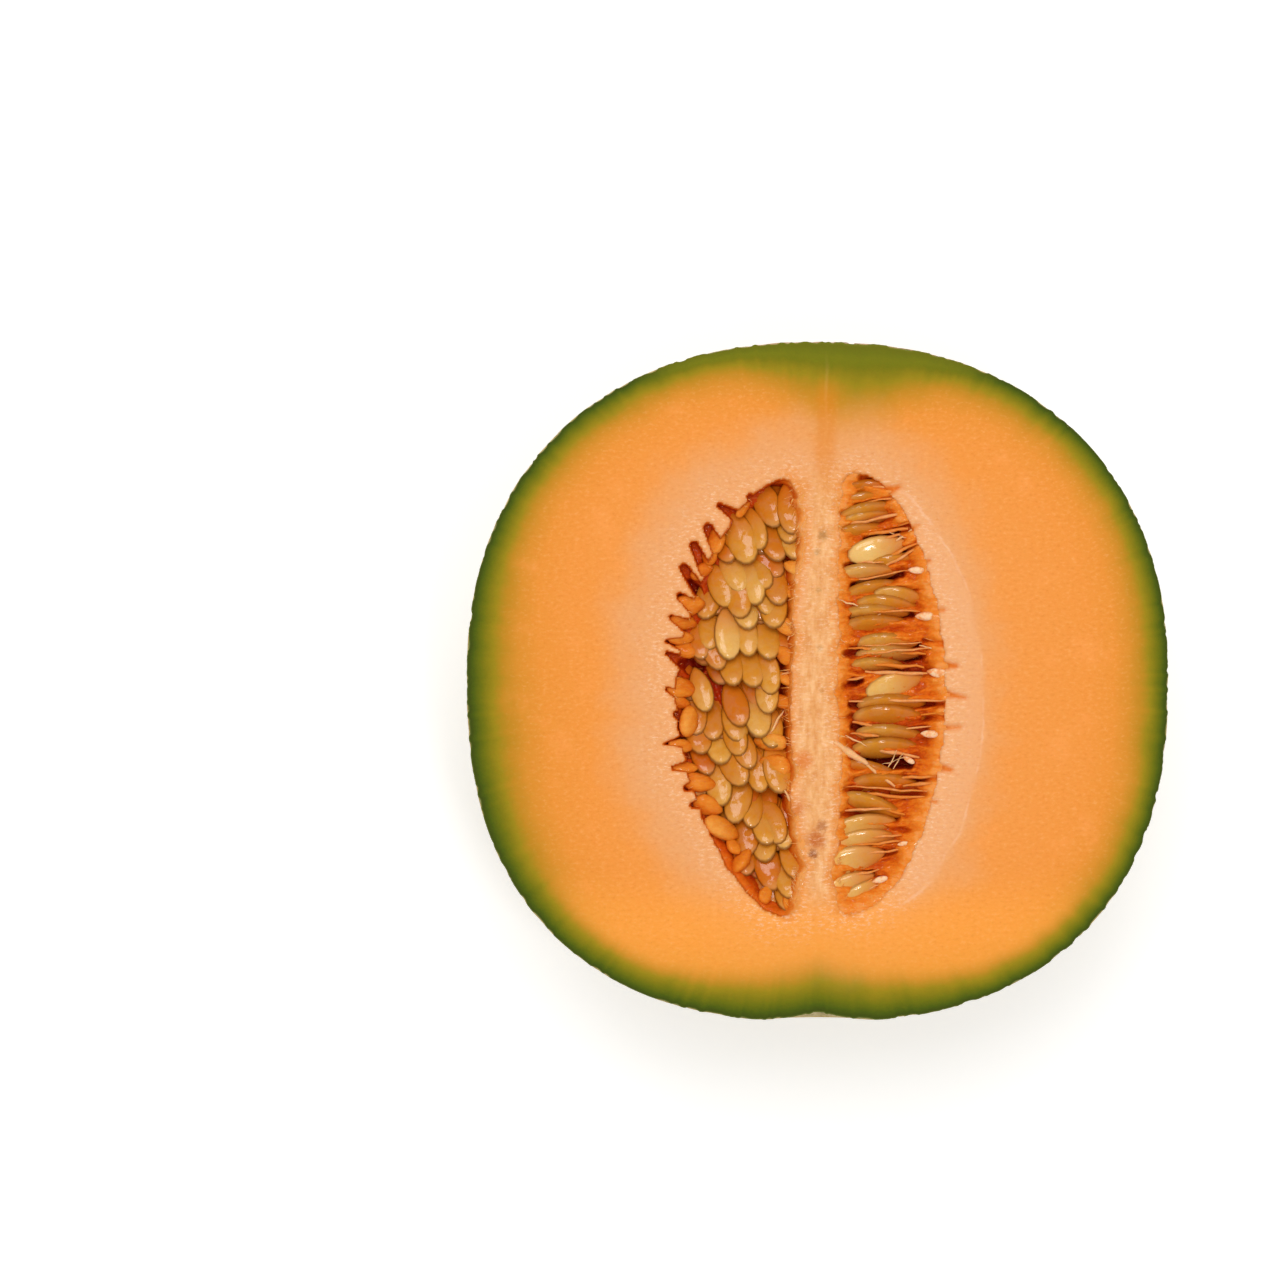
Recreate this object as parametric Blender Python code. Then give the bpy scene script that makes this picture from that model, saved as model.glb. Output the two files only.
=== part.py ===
"""Half of a netted cantaloupe melon, cut lengthways and lying on its round back with the cut face up.

Metres. +Z points out of the cut face, +Y to the blossom end and -Y to the stem end. The origin is on the
surface that the half rests on, under the middle of the melon. The flesh and its netted rind are one solid,
as they grew. Two seed pockets in the cut face hold a bed of pulp each, with the seeds standing on it.
"""

import math
import random
from dataclasses import dataclass

import bmesh
import bpy
from mathutils import Matrix, Vector

# The melon's outline over the crests of its net, as two superellipses that meet across the middle
RADIUS = 0.0737
BLOSSOM_REACH = 0.0710
BLOSSOM_SQUARENESS = 2.25
STEM_REACH = 0.0720
STEM_SQUARENESS = 2.4
STEM_DISH_RADIUS = 0.0075
STEM_DISH_DEPTH = 0.0018

# The round back is flattened this much where it rests, and the cut runs through the melon's centre
REST_FLAT_DEPTH = 0.0017
CUT_Z = RADIUS - REST_FLAT_DEPTH

# The ends differ in reach, so this centres the half's box over the origin
MIDDLE_Y = 0.0002

# The corky net, about twice as coarse as the real one
NET_CELLS = 860
NET_JITTER = 0.42
NET_HEIGHT = 0.0013
NET_HEIGHT_SPREAD = 0.0003
NET_HALF_WIDTH = 0.0013
NET_WIDTH_SPREAD = 0.25
NET_SMALLEST_FLOOR = 0.35

# The seed pockets
LOBE_MIDDLE_Y = -0.0030
LOBE_HALF_LENGTH = 0.0468
POCKET_DEPTH = 0.0240
WALL_STEPS = 26
SEPTUM_STEPS = 10
POCKET_SQUARENESS = 2.6
POCKET_LEVELS = (0.0, 0.4, 0.7, 0.9, 0.985)
CUTTER_PROUD = 0.001

# The pulp bed that fills each pocket, its skin that the seeds stand on, and the gap between the pieces
GAP = 0.0004
MAT_THICKNESS = 0.0012
MAT_SHARE = 0.94
MAT_INSET = 0.0005
BED_SHARES = (MAT_SHARE, 0.64, 0.3)

# A seed: flat, oval, drawn to a point where it was attached
SEED_LENGTH = 0.0112
SEED_WIDTH = 0.0048
SEED_THICKNESS = 0.0014
SEED_SIDES = 8
SEED_POINT = 0.22
SEED_CROWN = 0.62
SEED_SINK = 0.0007

# In the left pocket seeds lie like shingles, round ends down and a little to the right
SHINGLE_ROW = 0.0041
SHINGLE_BESIDE = 0.0045
SHINGLE_HEADING = math.radians(-68)
SHINGLE_PITCH = math.radians(25)

# In the right pocket they stand on edge across it like a stack of coins, and a few have fallen over.
# The headings, in degrees, turn them from the top of the stack to its foot.
STACK_ROW = 0.0035
STACK_X = 0.0042
STACK_PITCH = math.radians(4)
STACK_ROLL = math.radians(64)
STACK_HEADINGS = (14, 12, 13, 8, 10, 3, 0, -4, -13, 14, 30)
STACK_TRIES = 12
FALLEN_EVERY = 6
FALLEN_FROM = 0.86

SEARCH_STEP = 0.0005
RANDOM_SEED = 7


@dataclass(frozen=True)
class Lobe:
    """One seed pocket of the cut face. Its outer side looks to the rind, its inner side to the septum."""

    name: str
    side: int
    middle_x: float
    outer: float
    inner: float
    outer_squareness: float
    teeth: int
    bite: float
    bed_depth: float
    bed_fall: float


LEFT = Lobe("left", -1, -0.0079, 0.0235, 0.0048, 1.55, 13, 0.0017, 0.0054, 0.0022)
RIGHT = Lobe("right", 1, 0.0089, 0.0204, 0.0042, 1.75, 11, 0.0008, 0.0050, -0.0008)
INNER_SQUARENESS = 3.6


def clear_scene():
    for thing in list(bpy.data.objects):
        bpy.data.objects.remove(thing)


def material(name, colour, roughness):
    made = bpy.data.materials.new(name)
    made.use_nodes = True
    shader = made.node_tree.nodes["Principled BSDF"]
    shader.inputs["Base Color"].default_value = (*colour, 1)
    shader.inputs["Roughness"].default_value = roughness
    shader.inputs["Metallic"].default_value = 0
    return made


def new_object(name, points, faces, *finishes):
    mesh = bpy.data.meshes.new(name)
    mesh.from_pydata(points, [], faces)
    for finish in finishes:
        mesh.materials.append(finish)
    made = bpy.data.objects.new(name, mesh)
    bpy.context.scene.collection.objects.link(made)
    return made


# Rind and flesh


def skin_reach(direction):
    """Distance from the melon's centre to its skin along a unit vector."""
    across = math.hypot(direction.x, direction.z)
    if direction.y > 0:
        reach, squareness = BLOSSOM_REACH, BLOSSOM_SQUARENESS
    else:
        reach, squareness = STEM_REACH, STEM_SQUARENESS
    total = (across / RADIUS) ** squareness + (abs(direction.y) / reach) ** squareness
    distance = total ** (-1 / squareness)
    if direction.y < 0:
        from_axis = distance * across
        distance -= STEM_DISH_DEPTH * math.exp(-((from_axis / STEM_DISH_RADIUS) ** 2))
    return distance


def on_skin(direction, sunk):
    centre = Vector((0, MIDDLE_Y, CUT_Z))
    return centre + direction * (skin_reach(direction) - sunk)


def scattered_directions(chance):
    """Unit vectors spread evenly over a ball on a spiral, then moved a little at random."""
    turn = math.pi * (3 - math.sqrt(5))
    spacing = math.sqrt(4 * math.pi / NET_CELLS)
    found = []
    for i in range(NET_CELLS):
        z = 1 - (2 * i + 1) / NET_CELLS
        flat = math.sqrt(1 - z * z)
        step = Vector([chance.uniform(-1, 1) for _ in range(3)]) * spacing * NET_JITTER
        found.append((Vector((flat * math.cos(turn * i), flat * math.sin(turn * i), z)) + step).normalized())
    return found


def net_cells(directions):
    """The directions of the net's knots, and for each cell the knots round it, in order.

    The cells are those of a Voronoi diagram on the ball: the dual of the directions' convex hull.
    """
    hull = bmesh.new()
    for direction in directions:
        hull.verts.new(direction)
    bmesh.ops.convex_hull(hull, input=hull.verts)
    bmesh.ops.recalc_face_normals(hull, faces=hull.faces)
    hull.faces.index_update()
    knots = [face.normal.normalized() for face in hull.faces]
    cells = []
    for site in hull.verts:
        corner = site.link_loops[0]
        cell = []
        for _ in site.link_loops:
            cell.append(corner.face.index)
            corner = corner.link_loop_prev.link_loop_radial_next
        cells.append(cell)
    hull.free()
    return knots, cells


def netted_skin(chance):
    """Points and faces of the whole melon's skin: every net cell is a sunk floor inside raised ropes."""
    knots, cells = net_cells(scattered_directions(chance))
    points = [on_skin(knot, chance.uniform(0, NET_HEIGHT_SPREAD)) for knot in knots]
    faces = []
    for cell in cells:
        middle = sum((knots[i] for i in cell), Vector()).normalized()
        sides = [(knots[i] + knots[j]) / 2 for i, j in zip(cell, cell[1:] + cell[:1])]
        half_cell = min((side - middle).length for side in sides) * RADIUS
        rope = NET_HALF_WIDTH * chance.uniform(1 - NET_WIDTH_SPREAD, 1 + NET_WIDTH_SPREAD)
        keep = max(NET_SMALLEST_FLOOR, 1 - rope / half_cell)
        first = len(points)
        points += [on_skin(middle.lerp(knots[i], keep).normalized(), NET_HEIGHT) for i in cell]
        floor = list(range(first, len(points)))
        count = len(cell)
        for k in range(count):
            after = (k + 1) % count
            faces.append((cell[k], cell[after], floor[after], floor[k]))
        faces.append(floor)
    return points, faces


def close_flat(body, height, normal, finish_index):
    """Cuts the body off at a level, on the side that the normal points to, and closes it flat there."""
    geometry = body.verts[:] + body.edges[:] + body.faces[:]
    cut = bmesh.ops.bisect_plane(body, geom=geometry, plane_co=(0, 0, height), plane_no=normal, clear_outer=True)
    rim = [e for e in cut["geom_cut"] if isinstance(e, bmesh.types.BMEdge)]
    filled = bmesh.ops.triangle_fill(body, edges=rim, normal=normal, use_beauty=True, use_dissolve=False)
    for face in filled["geom"]:
        if isinstance(face, bmesh.types.BMFace):
            face.material_index = finish_index


def build_flesh_and_rind(flesh, rind, chance):
    points, faces = netted_skin(chance)
    half = new_object("flesh_and_rind", points, faces, flesh, rind)
    body = bmesh.new()
    body.from_mesh(half.data)
    bmesh.ops.triangulate(body, faces=body.faces)
    for face in body.faces:
        face.material_index = 1
    close_flat(body, CUT_Z, (0, 0, 1), 0)
    close_flat(body, 0, (0, 0, -1), 1)
    bmesh.ops.recalc_face_normals(body, faces=body.faces)
    body.to_mesh(half.data)
    body.free()
    return half


# Seed pockets and the pulp in them


def spiked(share):
    """A wave of sharp peaks: 0 at whole numbers, 1 half way between them."""
    return 1 - abs(2 * (share % 1) - 1)


def moved_in(ring, inset):
    """A ring that runs counter-clockwise, moved inwards by a distance square to its sides."""
    moved = []
    for before, at, after in zip(ring[-1:] + ring[:-1], ring, ring[1:] + ring[:1]):
        into, out_of = (at - before).normalized(), (after - at).normalized()
        inward = Vector((-into.y - out_of.y, into.x + out_of.x))
        moved.append(at + inward * inset / max(0.5, 1 + into.dot(out_of)))
    return moved


def rim_ring(lobe, scale=1.0, inset=0.0, bite=1.0):
    """The pocket's outline round its middle, as flat offsets: toothed to the rind, smooth to the septum."""
    ring = []
    for k in range(WALL_STEPS):
        turn = math.pi * (k / WALL_STEPS - 0.5)
        ring.append((turn, lobe.outer, lobe.outer_squareness, spiked(lobe.teeth * k / WALL_STEPS)))
    for k in range(SEPTUM_STEPS):
        turn = math.pi * (k / SEPTUM_STEPS + 0.5)
        ring.append((turn, lobe.inner, INNER_SQUARENESS, 0.0))
    offsets = []
    for turn, width, squareness, tooth in ring:
        c, s = math.cos(turn), math.sin(turn)
        x = width * math.copysign(abs(c) ** (2 / squareness), c)
        y = LOBE_HALF_LENGTH * math.copysign(abs(s) ** (2 / squareness), s)
        reach = math.hypot(x, y)
        longer = (reach + lobe.bite * bite * tooth * abs(c) ** 0.5) * scale
        offsets.append(Vector((x, y)) * (longer / reach))
    return [Vector((offset.x * lobe.side, offset.y)) for offset in moved_in(offsets, inset)]


def lobe_point(lobe, offset, depth):
    return Vector((lobe.middle_x + offset.x, MIDDLE_Y + LOBE_MIDDLE_Y + offset.y, CUT_Z - depth))


def loft(rings):
    """Points and faces of a closed solid through rings of equal length, its two ends closed flat."""
    count = len(rings[0])
    points = [point for ring in rings for point in ring]
    faces = [tuple(range(count))[::-1], tuple(range(len(points) - count, len(points)))]
    for level in range(len(rings) - 1):
        for k in range(count):
            after = (k + 1) % count
            low, high = level * count, (level + 1) * count
            faces.append((low + k, low + after, high + after, high + k))
    return points, faces


def wall_rings(lobe, gap, levels):
    """Rings up a pocket's wall, deepest first. The pocket is round below, and its teeth fade out."""
    rings = []
    for level in sorted(levels, reverse=True):
        scale = (1 - level ** POCKET_SQUARENESS) ** (1 / POCKET_SQUARENESS)
        ring = rim_ring(lobe, scale, gap, bite=(1 - level) ** 2)
        rings.append([lobe_point(lobe, offset, (POCKET_DEPTH - gap) * level) for offset in ring])
    return rings


def bed_depth(lobe, share):
    """Depth of the pulp's skin under the cut, from the lobe's middle, share 0, to its wall, share 1."""
    return lobe.bed_depth + lobe.bed_fall * share * share


def bed_rings(lobe, below):
    """Rings over the bed from its rim to its middle, this far below the pulp's skin."""
    rings = []
    for share in BED_SHARES:
        ring = rim_ring(lobe, share, MAT_INSET, bite=0.0)
        rings.append([lobe_point(lobe, offset, bed_depth(lobe, share) + below) for offset in ring])
    return rings


def outwards(thing):
    """Turns a closed mesh's faces outwards, whichever way round the lobe's side made them."""
    body = bmesh.new()
    body.from_mesh(thing.data)
    bmesh.ops.triangulate(body, faces=body.faces)
    bmesh.ops.recalc_face_normals(body, faces=body.faces)
    body.to_mesh(thing.data)
    body.free()
    return thing


def cut_pocket(half, lobe, finish):
    """A pocket in the cut face. Its cutter stands a little out of the face."""
    rings = wall_rings(lobe, 0.0, POCKET_LEVELS)
    rings.append([point + Vector((0, 0, CUTTER_PROUD)) for point in rings[-1]])
    cutter = outwards(new_object(f"cutter_{lobe.name}", *loft(rings), finish))
    cutter.hide_render = True
    cutter.display_type = "WIRE"
    pocket = half.modifiers.new(f"pocket_{lobe.name}", "BOOLEAN")
    pocket.operation = "DIFFERENCE"
    pocket.object = cutter


def build_pulp(lobe, finish):
    """The soft pulp that fills a pocket up to the seeds."""
    rings = wall_rings(lobe, GAP, POCKET_LEVELS[1:])
    rings += bed_rings(lobe, MAT_THICKNESS + GAP)
    return outwards(new_object(f"pulp_{lobe.name}", *loft(rings), finish))


# Seeds


@dataclass(frozen=True)
class SeedPlace:
    """Where a seed lies: its middle from the lobe's, the heading of its round end, pitch and roll in radians."""

    x: float
    y: float
    heading: float
    pitch: float
    roll: float
    size: float


def seed_points():
    """A seed about its own middle, with its faces: +X to its round end, +Z out of its flat side."""
    rings = []
    for crown, z in ((SEED_CROWN, -0.5), (1, 0), (SEED_CROWN, 0.5)):
        ring = []
        for k in range(SEED_SIDES):
            turn = 2 * math.pi * k / SEED_SIDES
            breadth = SEED_WIDTH / 2 * (1 + SEED_POINT * math.cos(turn)) * math.sin(turn)
            ring.append(Vector((SEED_LENGTH / 2 * math.cos(turn) * crown, breadth * crown, z * SEED_THICKNESS)))
        rings.append(ring)
    return loft(rings)


def lobe_share(lobe, x, y):
    """How far out of the lobe's middle a place is: 0 there, 1 at the wall."""
    out = x * lobe.side > 0
    width, squareness = (lobe.outer, lobe.outer_squareness) if out else (lobe.inner, INNER_SQUARENESS)
    return ((abs(x) / width) ** squareness + (abs(y) / LOBE_HALF_LENGTH) ** squareness) ** (1 / squareness)


def seed_matrix(lobe, place):
    """Sets a seed's pointed end into the bed."""
    back = SEED_LENGTH / 2 * place.size
    root_x = place.x - back * math.cos(place.heading)
    root_y = place.y - back * math.sin(place.heading)
    stands = back * abs(math.sin(place.pitch)) + SEED_WIDTH / 2 * place.size * abs(math.sin(place.roll))
    depth = bed_depth(lobe, min(1.0, lobe_share(lobe, root_x, root_y))) + SEED_SINK - stands
    at = lobe_point(lobe, Vector((place.x, place.y)), depth)
    turned = Matrix.Rotation(place.heading, 4, "Z") @ Matrix.Rotation(-place.pitch, 4, "Y")
    return Matrix.Translation(at) @ turned @ Matrix.Rotation(place.roll, 4, "X") @ Matrix.Scale(place.size, 4)


def is_inside(fence, x, y):
    """Whether a flat point lies inside a closed ring of points."""
    crossings = 0
    for low, high in zip(fence, fence[1:] + fence[:1]):
        if (low.y > y) != (high.y > y):
            crossings += x < low.x + (high.x - low.x) * (y - low.y) / (high.y - low.y)
    return crossings % 2 == 1


def fits(lobe, fence, place):
    """Whether a whole seed keeps clear of the pocket's wall."""
    middle = lobe_point(lobe, Vector((0, 0)), 0)
    corners = [seed_matrix(lobe, place) @ point - middle for point in seed_points()[0]]
    return all(is_inside(fence, corner.x, corner.y) for corner in corners)


def shingled_places(lobe, chance):
    """Rows of seeds from the blossom end down, each row filled from the wall to the septum."""
    fence = rim_ring(lobe, MAT_SHARE, MAT_INSET, bite=0.0)
    places = []
    y = LOBE_HALF_LENGTH
    while y > -LOBE_HALF_LENGTH:
        y -= SHINGLE_ROW
        x = -lobe.outer + SHINGLE_BESIDE * chance.uniform(0, 0.8)
        while x < lobe.inner:
            place = SeedPlace(
                x, y + chance.uniform(-0.0007, 0.0007),
                SHINGLE_HEADING + math.radians(chance.uniform(-15, 15)),
                SHINGLE_PITCH + math.radians(chance.uniform(-4, 4)),
                math.radians(chance.uniform(-12, 12)), chance.uniform(0.92, 1.05))
            if fits(lobe, fence, place):
                places.append(place)
                x += SHINGLE_BESIDE
            else:
                x += SEARCH_STEP
    return places


def stacked_places(lobe, chance):
    """One seed to a row from the blossom end down, moved to the septum where the lobe is too narrow for it."""
    fence = rim_ring(lobe, MAT_SHARE, MAT_INSET, bite=0.0)
    rows = int(2 * LOBE_HALF_LENGTH / STACK_ROW)
    places = []
    for row in range(rows):
        share = row / rows
        heading = math.radians(180 + STACK_HEADINGS[int(share * len(STACK_HEADINGS))] + chance.uniform(-5, 5))
        fallen = row % FALLEN_EVERY == FALLEN_EVERY - 1 or share > FALLEN_FROM
        roll = math.radians(chance.uniform(8, 24)) if fallen else STACK_ROLL + math.radians(chance.uniform(-8, 8))
        y = LOBE_HALF_LENGTH - STACK_ROW * (row + 0.5)
        for step in range(STACK_TRIES):
            x = STACK_X - step * SEARCH_STEP + chance.uniform(-0.0004, 0.0004)
            place = SeedPlace(x, y, heading, STACK_PITCH, roll, chance.uniform(0.94, 1.06))
            if fits(lobe, fence, place):
                places.append(place)
                break
    return places


def largest_body(mesh):
    """Drops every loose scrap but the largest body, counted by faces."""
    body = bmesh.new()
    body.from_mesh(mesh)
    left = set(body.faces)
    islands = []
    while left:
        island, waiting = set(), [left.pop()]
        while waiting:
            face = waiting.pop()
            island.add(face)
            near = {f for e in face.edges for f in e.link_faces} & left
            left -= near
            waiting += near
        islands.append(island)
    islands.sort(key=len)
    for island in islands[:-1]:
        corners = {v for f in island for v in f.verts}
        bmesh.ops.delete(body, geom=list(corners), context="VERTS")
    body.to_mesh(mesh)
    body.free()


def build_seeds(lobe, places, finish):
    """The lobe's seeds, fused with the pulp's thin skin that they grew from."""
    skin = bed_rings(lobe, MAT_THICKNESS)[::-1] + bed_rings(lobe, 0.0)
    seeds = outwards(new_object(f"seeds_{lobe.name}", *loft(skin), finish))
    loose = bpy.data.collections.new(f"loose_seeds_{lobe.name}")
    bpy.context.scene.collection.children.link(loose)
    points, faces = seed_points()
    for number, place in enumerate(places):
        at = seed_matrix(lobe, place)
        seed = outwards(new_object(f"seed_{lobe.name}_{number}", [at @ point for point in points], faces, finish))
        bpy.context.scene.collection.objects.unlink(seed)
        loose.objects.link(seed)
    union = seeds.modifiers.new("fused", "BOOLEAN")
    union.operation = "UNION"
    union.operand_type = "COLLECTION"
    union.collection = loose
    graph = bpy.context.evaluated_depsgraph_get()
    fused = bpy.data.meshes.new_from_object(seeds.evaluated_get(graph))
    seeds.modifiers.clear()
    seeds.data = fused
    for seed in list(loose.objects):
        bpy.data.objects.remove(seed)
    bpy.data.collections.remove(loose)
    largest_body(seeds.data)
    return seeds


def main():
    clear_scene()
    chance = random.Random(RANDOM_SEED)
    flesh = material("flesh", (0.86, 0.36, 0.09), 0.5)
    rind = material("rind", (0.33, 0.29, 0.12), 0.8)
    pulp = material("pulp", (0.72, 0.20, 0.03), 0.35)
    seed = material("seed", (0.72, 0.47, 0.17), 0.35)
    half = build_flesh_and_rind(flesh, rind, chance)
    for lobe, places in ((LEFT, shingled_places), (RIGHT, stacked_places)):
        cut_pocket(half, lobe, flesh)
        build_pulp(lobe, pulp)
        build_seeds(lobe, places(lobe, chance), seed)


main()
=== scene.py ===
"""Looks of a cut cantaloupe melon half, lying on its round back with the cut face up.

Everything is in metres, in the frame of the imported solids: +Z out of the cut face, +Y to the blossom end.
Places that were read off the reference picture are given in its pixels and pass through Picture.
"""

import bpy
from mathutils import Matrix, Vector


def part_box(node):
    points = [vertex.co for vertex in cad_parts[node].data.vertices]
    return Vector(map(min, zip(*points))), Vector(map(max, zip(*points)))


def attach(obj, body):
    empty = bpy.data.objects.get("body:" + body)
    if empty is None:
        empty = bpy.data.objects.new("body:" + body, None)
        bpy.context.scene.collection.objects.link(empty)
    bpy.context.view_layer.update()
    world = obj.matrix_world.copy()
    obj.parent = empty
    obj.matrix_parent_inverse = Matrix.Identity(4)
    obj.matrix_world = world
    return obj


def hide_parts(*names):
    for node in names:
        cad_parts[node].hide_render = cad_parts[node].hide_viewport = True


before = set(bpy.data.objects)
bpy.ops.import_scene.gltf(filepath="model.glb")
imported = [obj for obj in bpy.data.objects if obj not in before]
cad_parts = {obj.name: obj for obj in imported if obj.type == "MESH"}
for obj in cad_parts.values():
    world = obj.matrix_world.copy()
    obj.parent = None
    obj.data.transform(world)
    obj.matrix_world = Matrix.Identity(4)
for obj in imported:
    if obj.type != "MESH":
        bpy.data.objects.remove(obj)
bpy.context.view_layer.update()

import logging
import math
import random
from dataclasses import dataclass, field
from enum import Enum
from typing import Any, Mapping, Sequence

import bpy
import numpy as np
from mathutils import Euler, Matrix, Vector

log = logging.getLogger("melon")

MM = 0.001
_, FLESH_HIGH = (Vector(corner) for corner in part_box("flesh_and_rind"))
CUT_Z = FLESH_HIGH.z

Rgb = tuple[int, int, int]
Rgba = tuple[float, float, float, float]
Pixel = tuple[float, float]
Stops = Sequence[tuple[float, Rgb]]


def paint(red: int, green: int, blue: int) -> Rgba:
    """Turns a screen colour into the linear colour that shaders use.

    Args:
        red: Red of the screen colour, 0 to 255.
        green: Green of the screen colour, 0 to 255.
        blue: Blue of the screen colour, 0 to 255.

    Returns:
        The linear colour, with alpha 1.
    """
    def linear(level: int) -> float:
        """The linear share of one level."""
        share = level / 255
        return share / 12.92 if share <= 0.04045 else ((share + 0.055) / 1.055) ** 2.4

    return linear(red), linear(green), linear(blue), 1.0


class Slot(Enum):
    """The record's material slots."""

    FLESH = "flesh"
    RIND = "rind"
    PULP = "pulp"
    SEED = "seed"


@dataclass(frozen=True)
class Picture:
    """Turns pixels of the reference picture into places on the cut face."""

    middle_x: float = 817.5
    middle_y: float = 680.5
    pixel: float = 0.21 * MM
    side: int = 1280

    def x(self, px: float) -> float:
        """The place in metres across the face."""
        return (px - self.middle_x) * self.pixel

    def y(self, px: float) -> float:
        """The place in metres along the face."""
        return (self.middle_y - px) * self.pixel


PICTURE = Picture()


# Node making


class Wire:
    """A node's output. Python's operators on it add Math nodes to its tree."""

    def __init__(self, maker: "NodeMaker", socket: bpy.types.NodeSocket) -> None:
        """Keeps the socket and the maker of its tree."""
        self.maker = maker
        self.socket = socket

    def __add__(self, other: "Number") -> "Wire":
        """Adds."""
        return self.maker.math("ADD", self, other)

    __radd__ = __add__

    def __sub__(self, other: "Number") -> "Wire":
        """Subtracts."""
        return self.maker.math("SUBTRACT", self, other)

    def __rsub__(self, other: "Number") -> "Wire":
        """Is subtracted."""
        return self.maker.math("SUBTRACT", other, self)

    def __mul__(self, other: "Number") -> "Wire":
        """Multiplies."""
        return self.maker.math("MULTIPLY", self, other)

    __rmul__ = __mul__

    def __truediv__(self, other: "Number") -> "Wire":
        """Divides."""
        return self.maker.math("DIVIDE", self, other)

    def __rtruediv__(self, other: "Number") -> "Wire":
        """Is divided into."""
        return self.maker.math("DIVIDE", other, self)

    def __pow__(self, other: "Number") -> "Wire":
        """Raises to a power."""
        return self.maker.math("POWER", self, other)

    def __abs__(self) -> "Wire":
        """Drops the sign."""
        return self.maker.math("ABSOLUTE", self)

    def __gt__(self, other: "Number") -> "Wire":
        """1 where it is greater, 0 elsewhere."""
        return self.maker.math("GREATER_THAN", self, other)

    def max(self, other: "Number") -> "Wire":
        """The greater of the two."""
        return self.maker.math("MAXIMUM", self, other)


Number = Wire | float


class NodeMaker:
    """Makes the nodes of one shader or geometry tree."""

    def __init__(self, tree: bpy.types.NodeTree) -> None:
        """Keeps the tree."""
        self.tree = tree

    def node(
        self,
        kind: str,
        settings: Mapping[str, Any] | None = None,
        sockets: Mapping[str | int, Any] | None = None,
    ) -> bpy.types.Node:
        """Makes any node.

        Args:
            kind: The node's type.
            settings: The node's own settings, set first. "stops" fills a colour ramp.
            sockets: A value or a Wire for each input, by name or index.

        Returns:
            The node.
        """
        made = self.tree.nodes.new(kind)
        for name, value in (settings or {}).items():
            if name == "stops":
                self._fill_ramp(made.color_ramp, value)
            else:
                setattr(made, name, value)
        for name, value in (sockets or {}).items():
            if isinstance(value, Wire):
                self.tree.links.new(value.socket, made.inputs[name])
            else:
                made.inputs[name].default_value = value
        return made

    @staticmethod
    def _fill_ramp(ramp: bpy.types.ColorRamp, stops: Sequence[tuple[float, Rgba]]) -> None:
        """Gives a ramp its stops.

        Args:
            ramp: The ramp.
            stops: The place and the linear colour of each stop, in rising order.
        """
        while len(ramp.elements) < len(stops):
            ramp.elements.new(1.0)
        for element, (place, colour) in zip(ramp.elements, stops):
            element.position = place
            element.color = colour

    def out(
        self,
        kind: str,
        settings: Mapping[str, Any] | None = None,
        sockets: Mapping[str | int, Any] | None = None,
        output: str | int = 0,
    ) -> Wire:
        """Makes a node as node() does, and gives one of its outputs."""
        return Wire(self, self.node(kind, settings, sockets).outputs[output])

    def math(self, operation: str, *values: Number) -> Wire:
        """Makes a Math node on up to three values."""
        return self.out("ShaderNodeMath", {"operation": operation}, dict(enumerate(values)))

    def vector(self, operation: str, *values: Any, output: int = 0) -> Wire:
        """Makes a Vector Math node.

        Args:
            operation: The node's operation.
            *values: Its values or Wires. The second one of SCALE is a number.
            output: Which output is meant: 1 for an operation that gives a number.

        Returns:
            That output.
        """
        sockets = dict(enumerate(values))
        if operation == "SCALE":
            sockets = {0: values[0], 3: values[1]}
        return self.out("ShaderNodeVectorMath", {"operation": operation}, sockets, output)

    def split(self, vector: Wire) -> tuple[Wire, Wire, Wire]:
        """The three parts of a vector."""
        parts = self.node("ShaderNodeSeparateXYZ", None, {0: vector})
        return Wire(self, parts.outputs[0]), Wire(self, parts.outputs[1]), Wire(self, parts.outputs[2])

    def join(self, x: Number, y: Number, z: Number) -> Wire:
        """A vector of three parts."""
        return self.out("ShaderNodeCombineXYZ", None, {0: x, 1: y, 2: z})

    def smooth(self, value: Wire, low: Number, high: Number) -> Wire:
        """A smooth step of a value.

        Args:
            value: The value.
            low: Where the step is 0.
            high: Where it is 1, which may be less than low.

        Returns:
            The step, from 0 to 1.
        """
        if isinstance(low, Wire) or isinstance(high, Wire) or low < high:
            sockets = {"Value": value, "From Min": low, "From Max": high}
            return self.out("ShaderNodeMapRange", {"interpolation_type": "SMOOTHSTEP"}, sockets)
        return 1 - self.smooth(value, high, low)

    def ramp(self, value: Wire, stops: Stops, span: float = 1.0) -> Wire:
        """A colour that changes with a value.

        Args:
            value: The value, from 0 to the span.
            stops: The place in the span and the screen colour of each stop, in rising order.
            span: The span.

        Returns:
            The colour.
        """
        linear = [(place / span, paint(*colour)) for place, colour in stops]
        share = value if span == 1.0 else value / span
        return self.out("ShaderNodeValToRGB", {"stops": linear}, {0: share})

    def blend(self, share: Number, low: Any, high: Any, how: str = "MIX") -> Wire:
        """Mixes two colours: low at share 0, high at share 1."""
        settings = {"data_type": "RGBA", "blend_type": how, "clamp_factor": True}
        return self.out("ShaderNodeMix", settings, {0: share, 6: low, 7: high}, 2)

    def noise(
        self, place: Wire, scale: float, detail: float = 2.0, roughness: float = 0.5, output: int = 0
    ) -> Wire:
        """A noise: its value, or its colour as output 1."""
        sockets = {"Vector": place, "Scale": scale, "Detail": detail, "Roughness": roughness}
        return self.out("ShaderNodeTexNoise", None, sockets, output)

    def drift(self, place: Wire, scale: float, detail: float = 2.0, roughness: float = 0.5) -> Wire:
        """A noise of vectors, whose parts run from -0.5 to 0.5."""
        return self.vector("SUBTRACT", self.noise(place, scale, detail, roughness, 1), (0.5, 0.5, 0.5))

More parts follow.
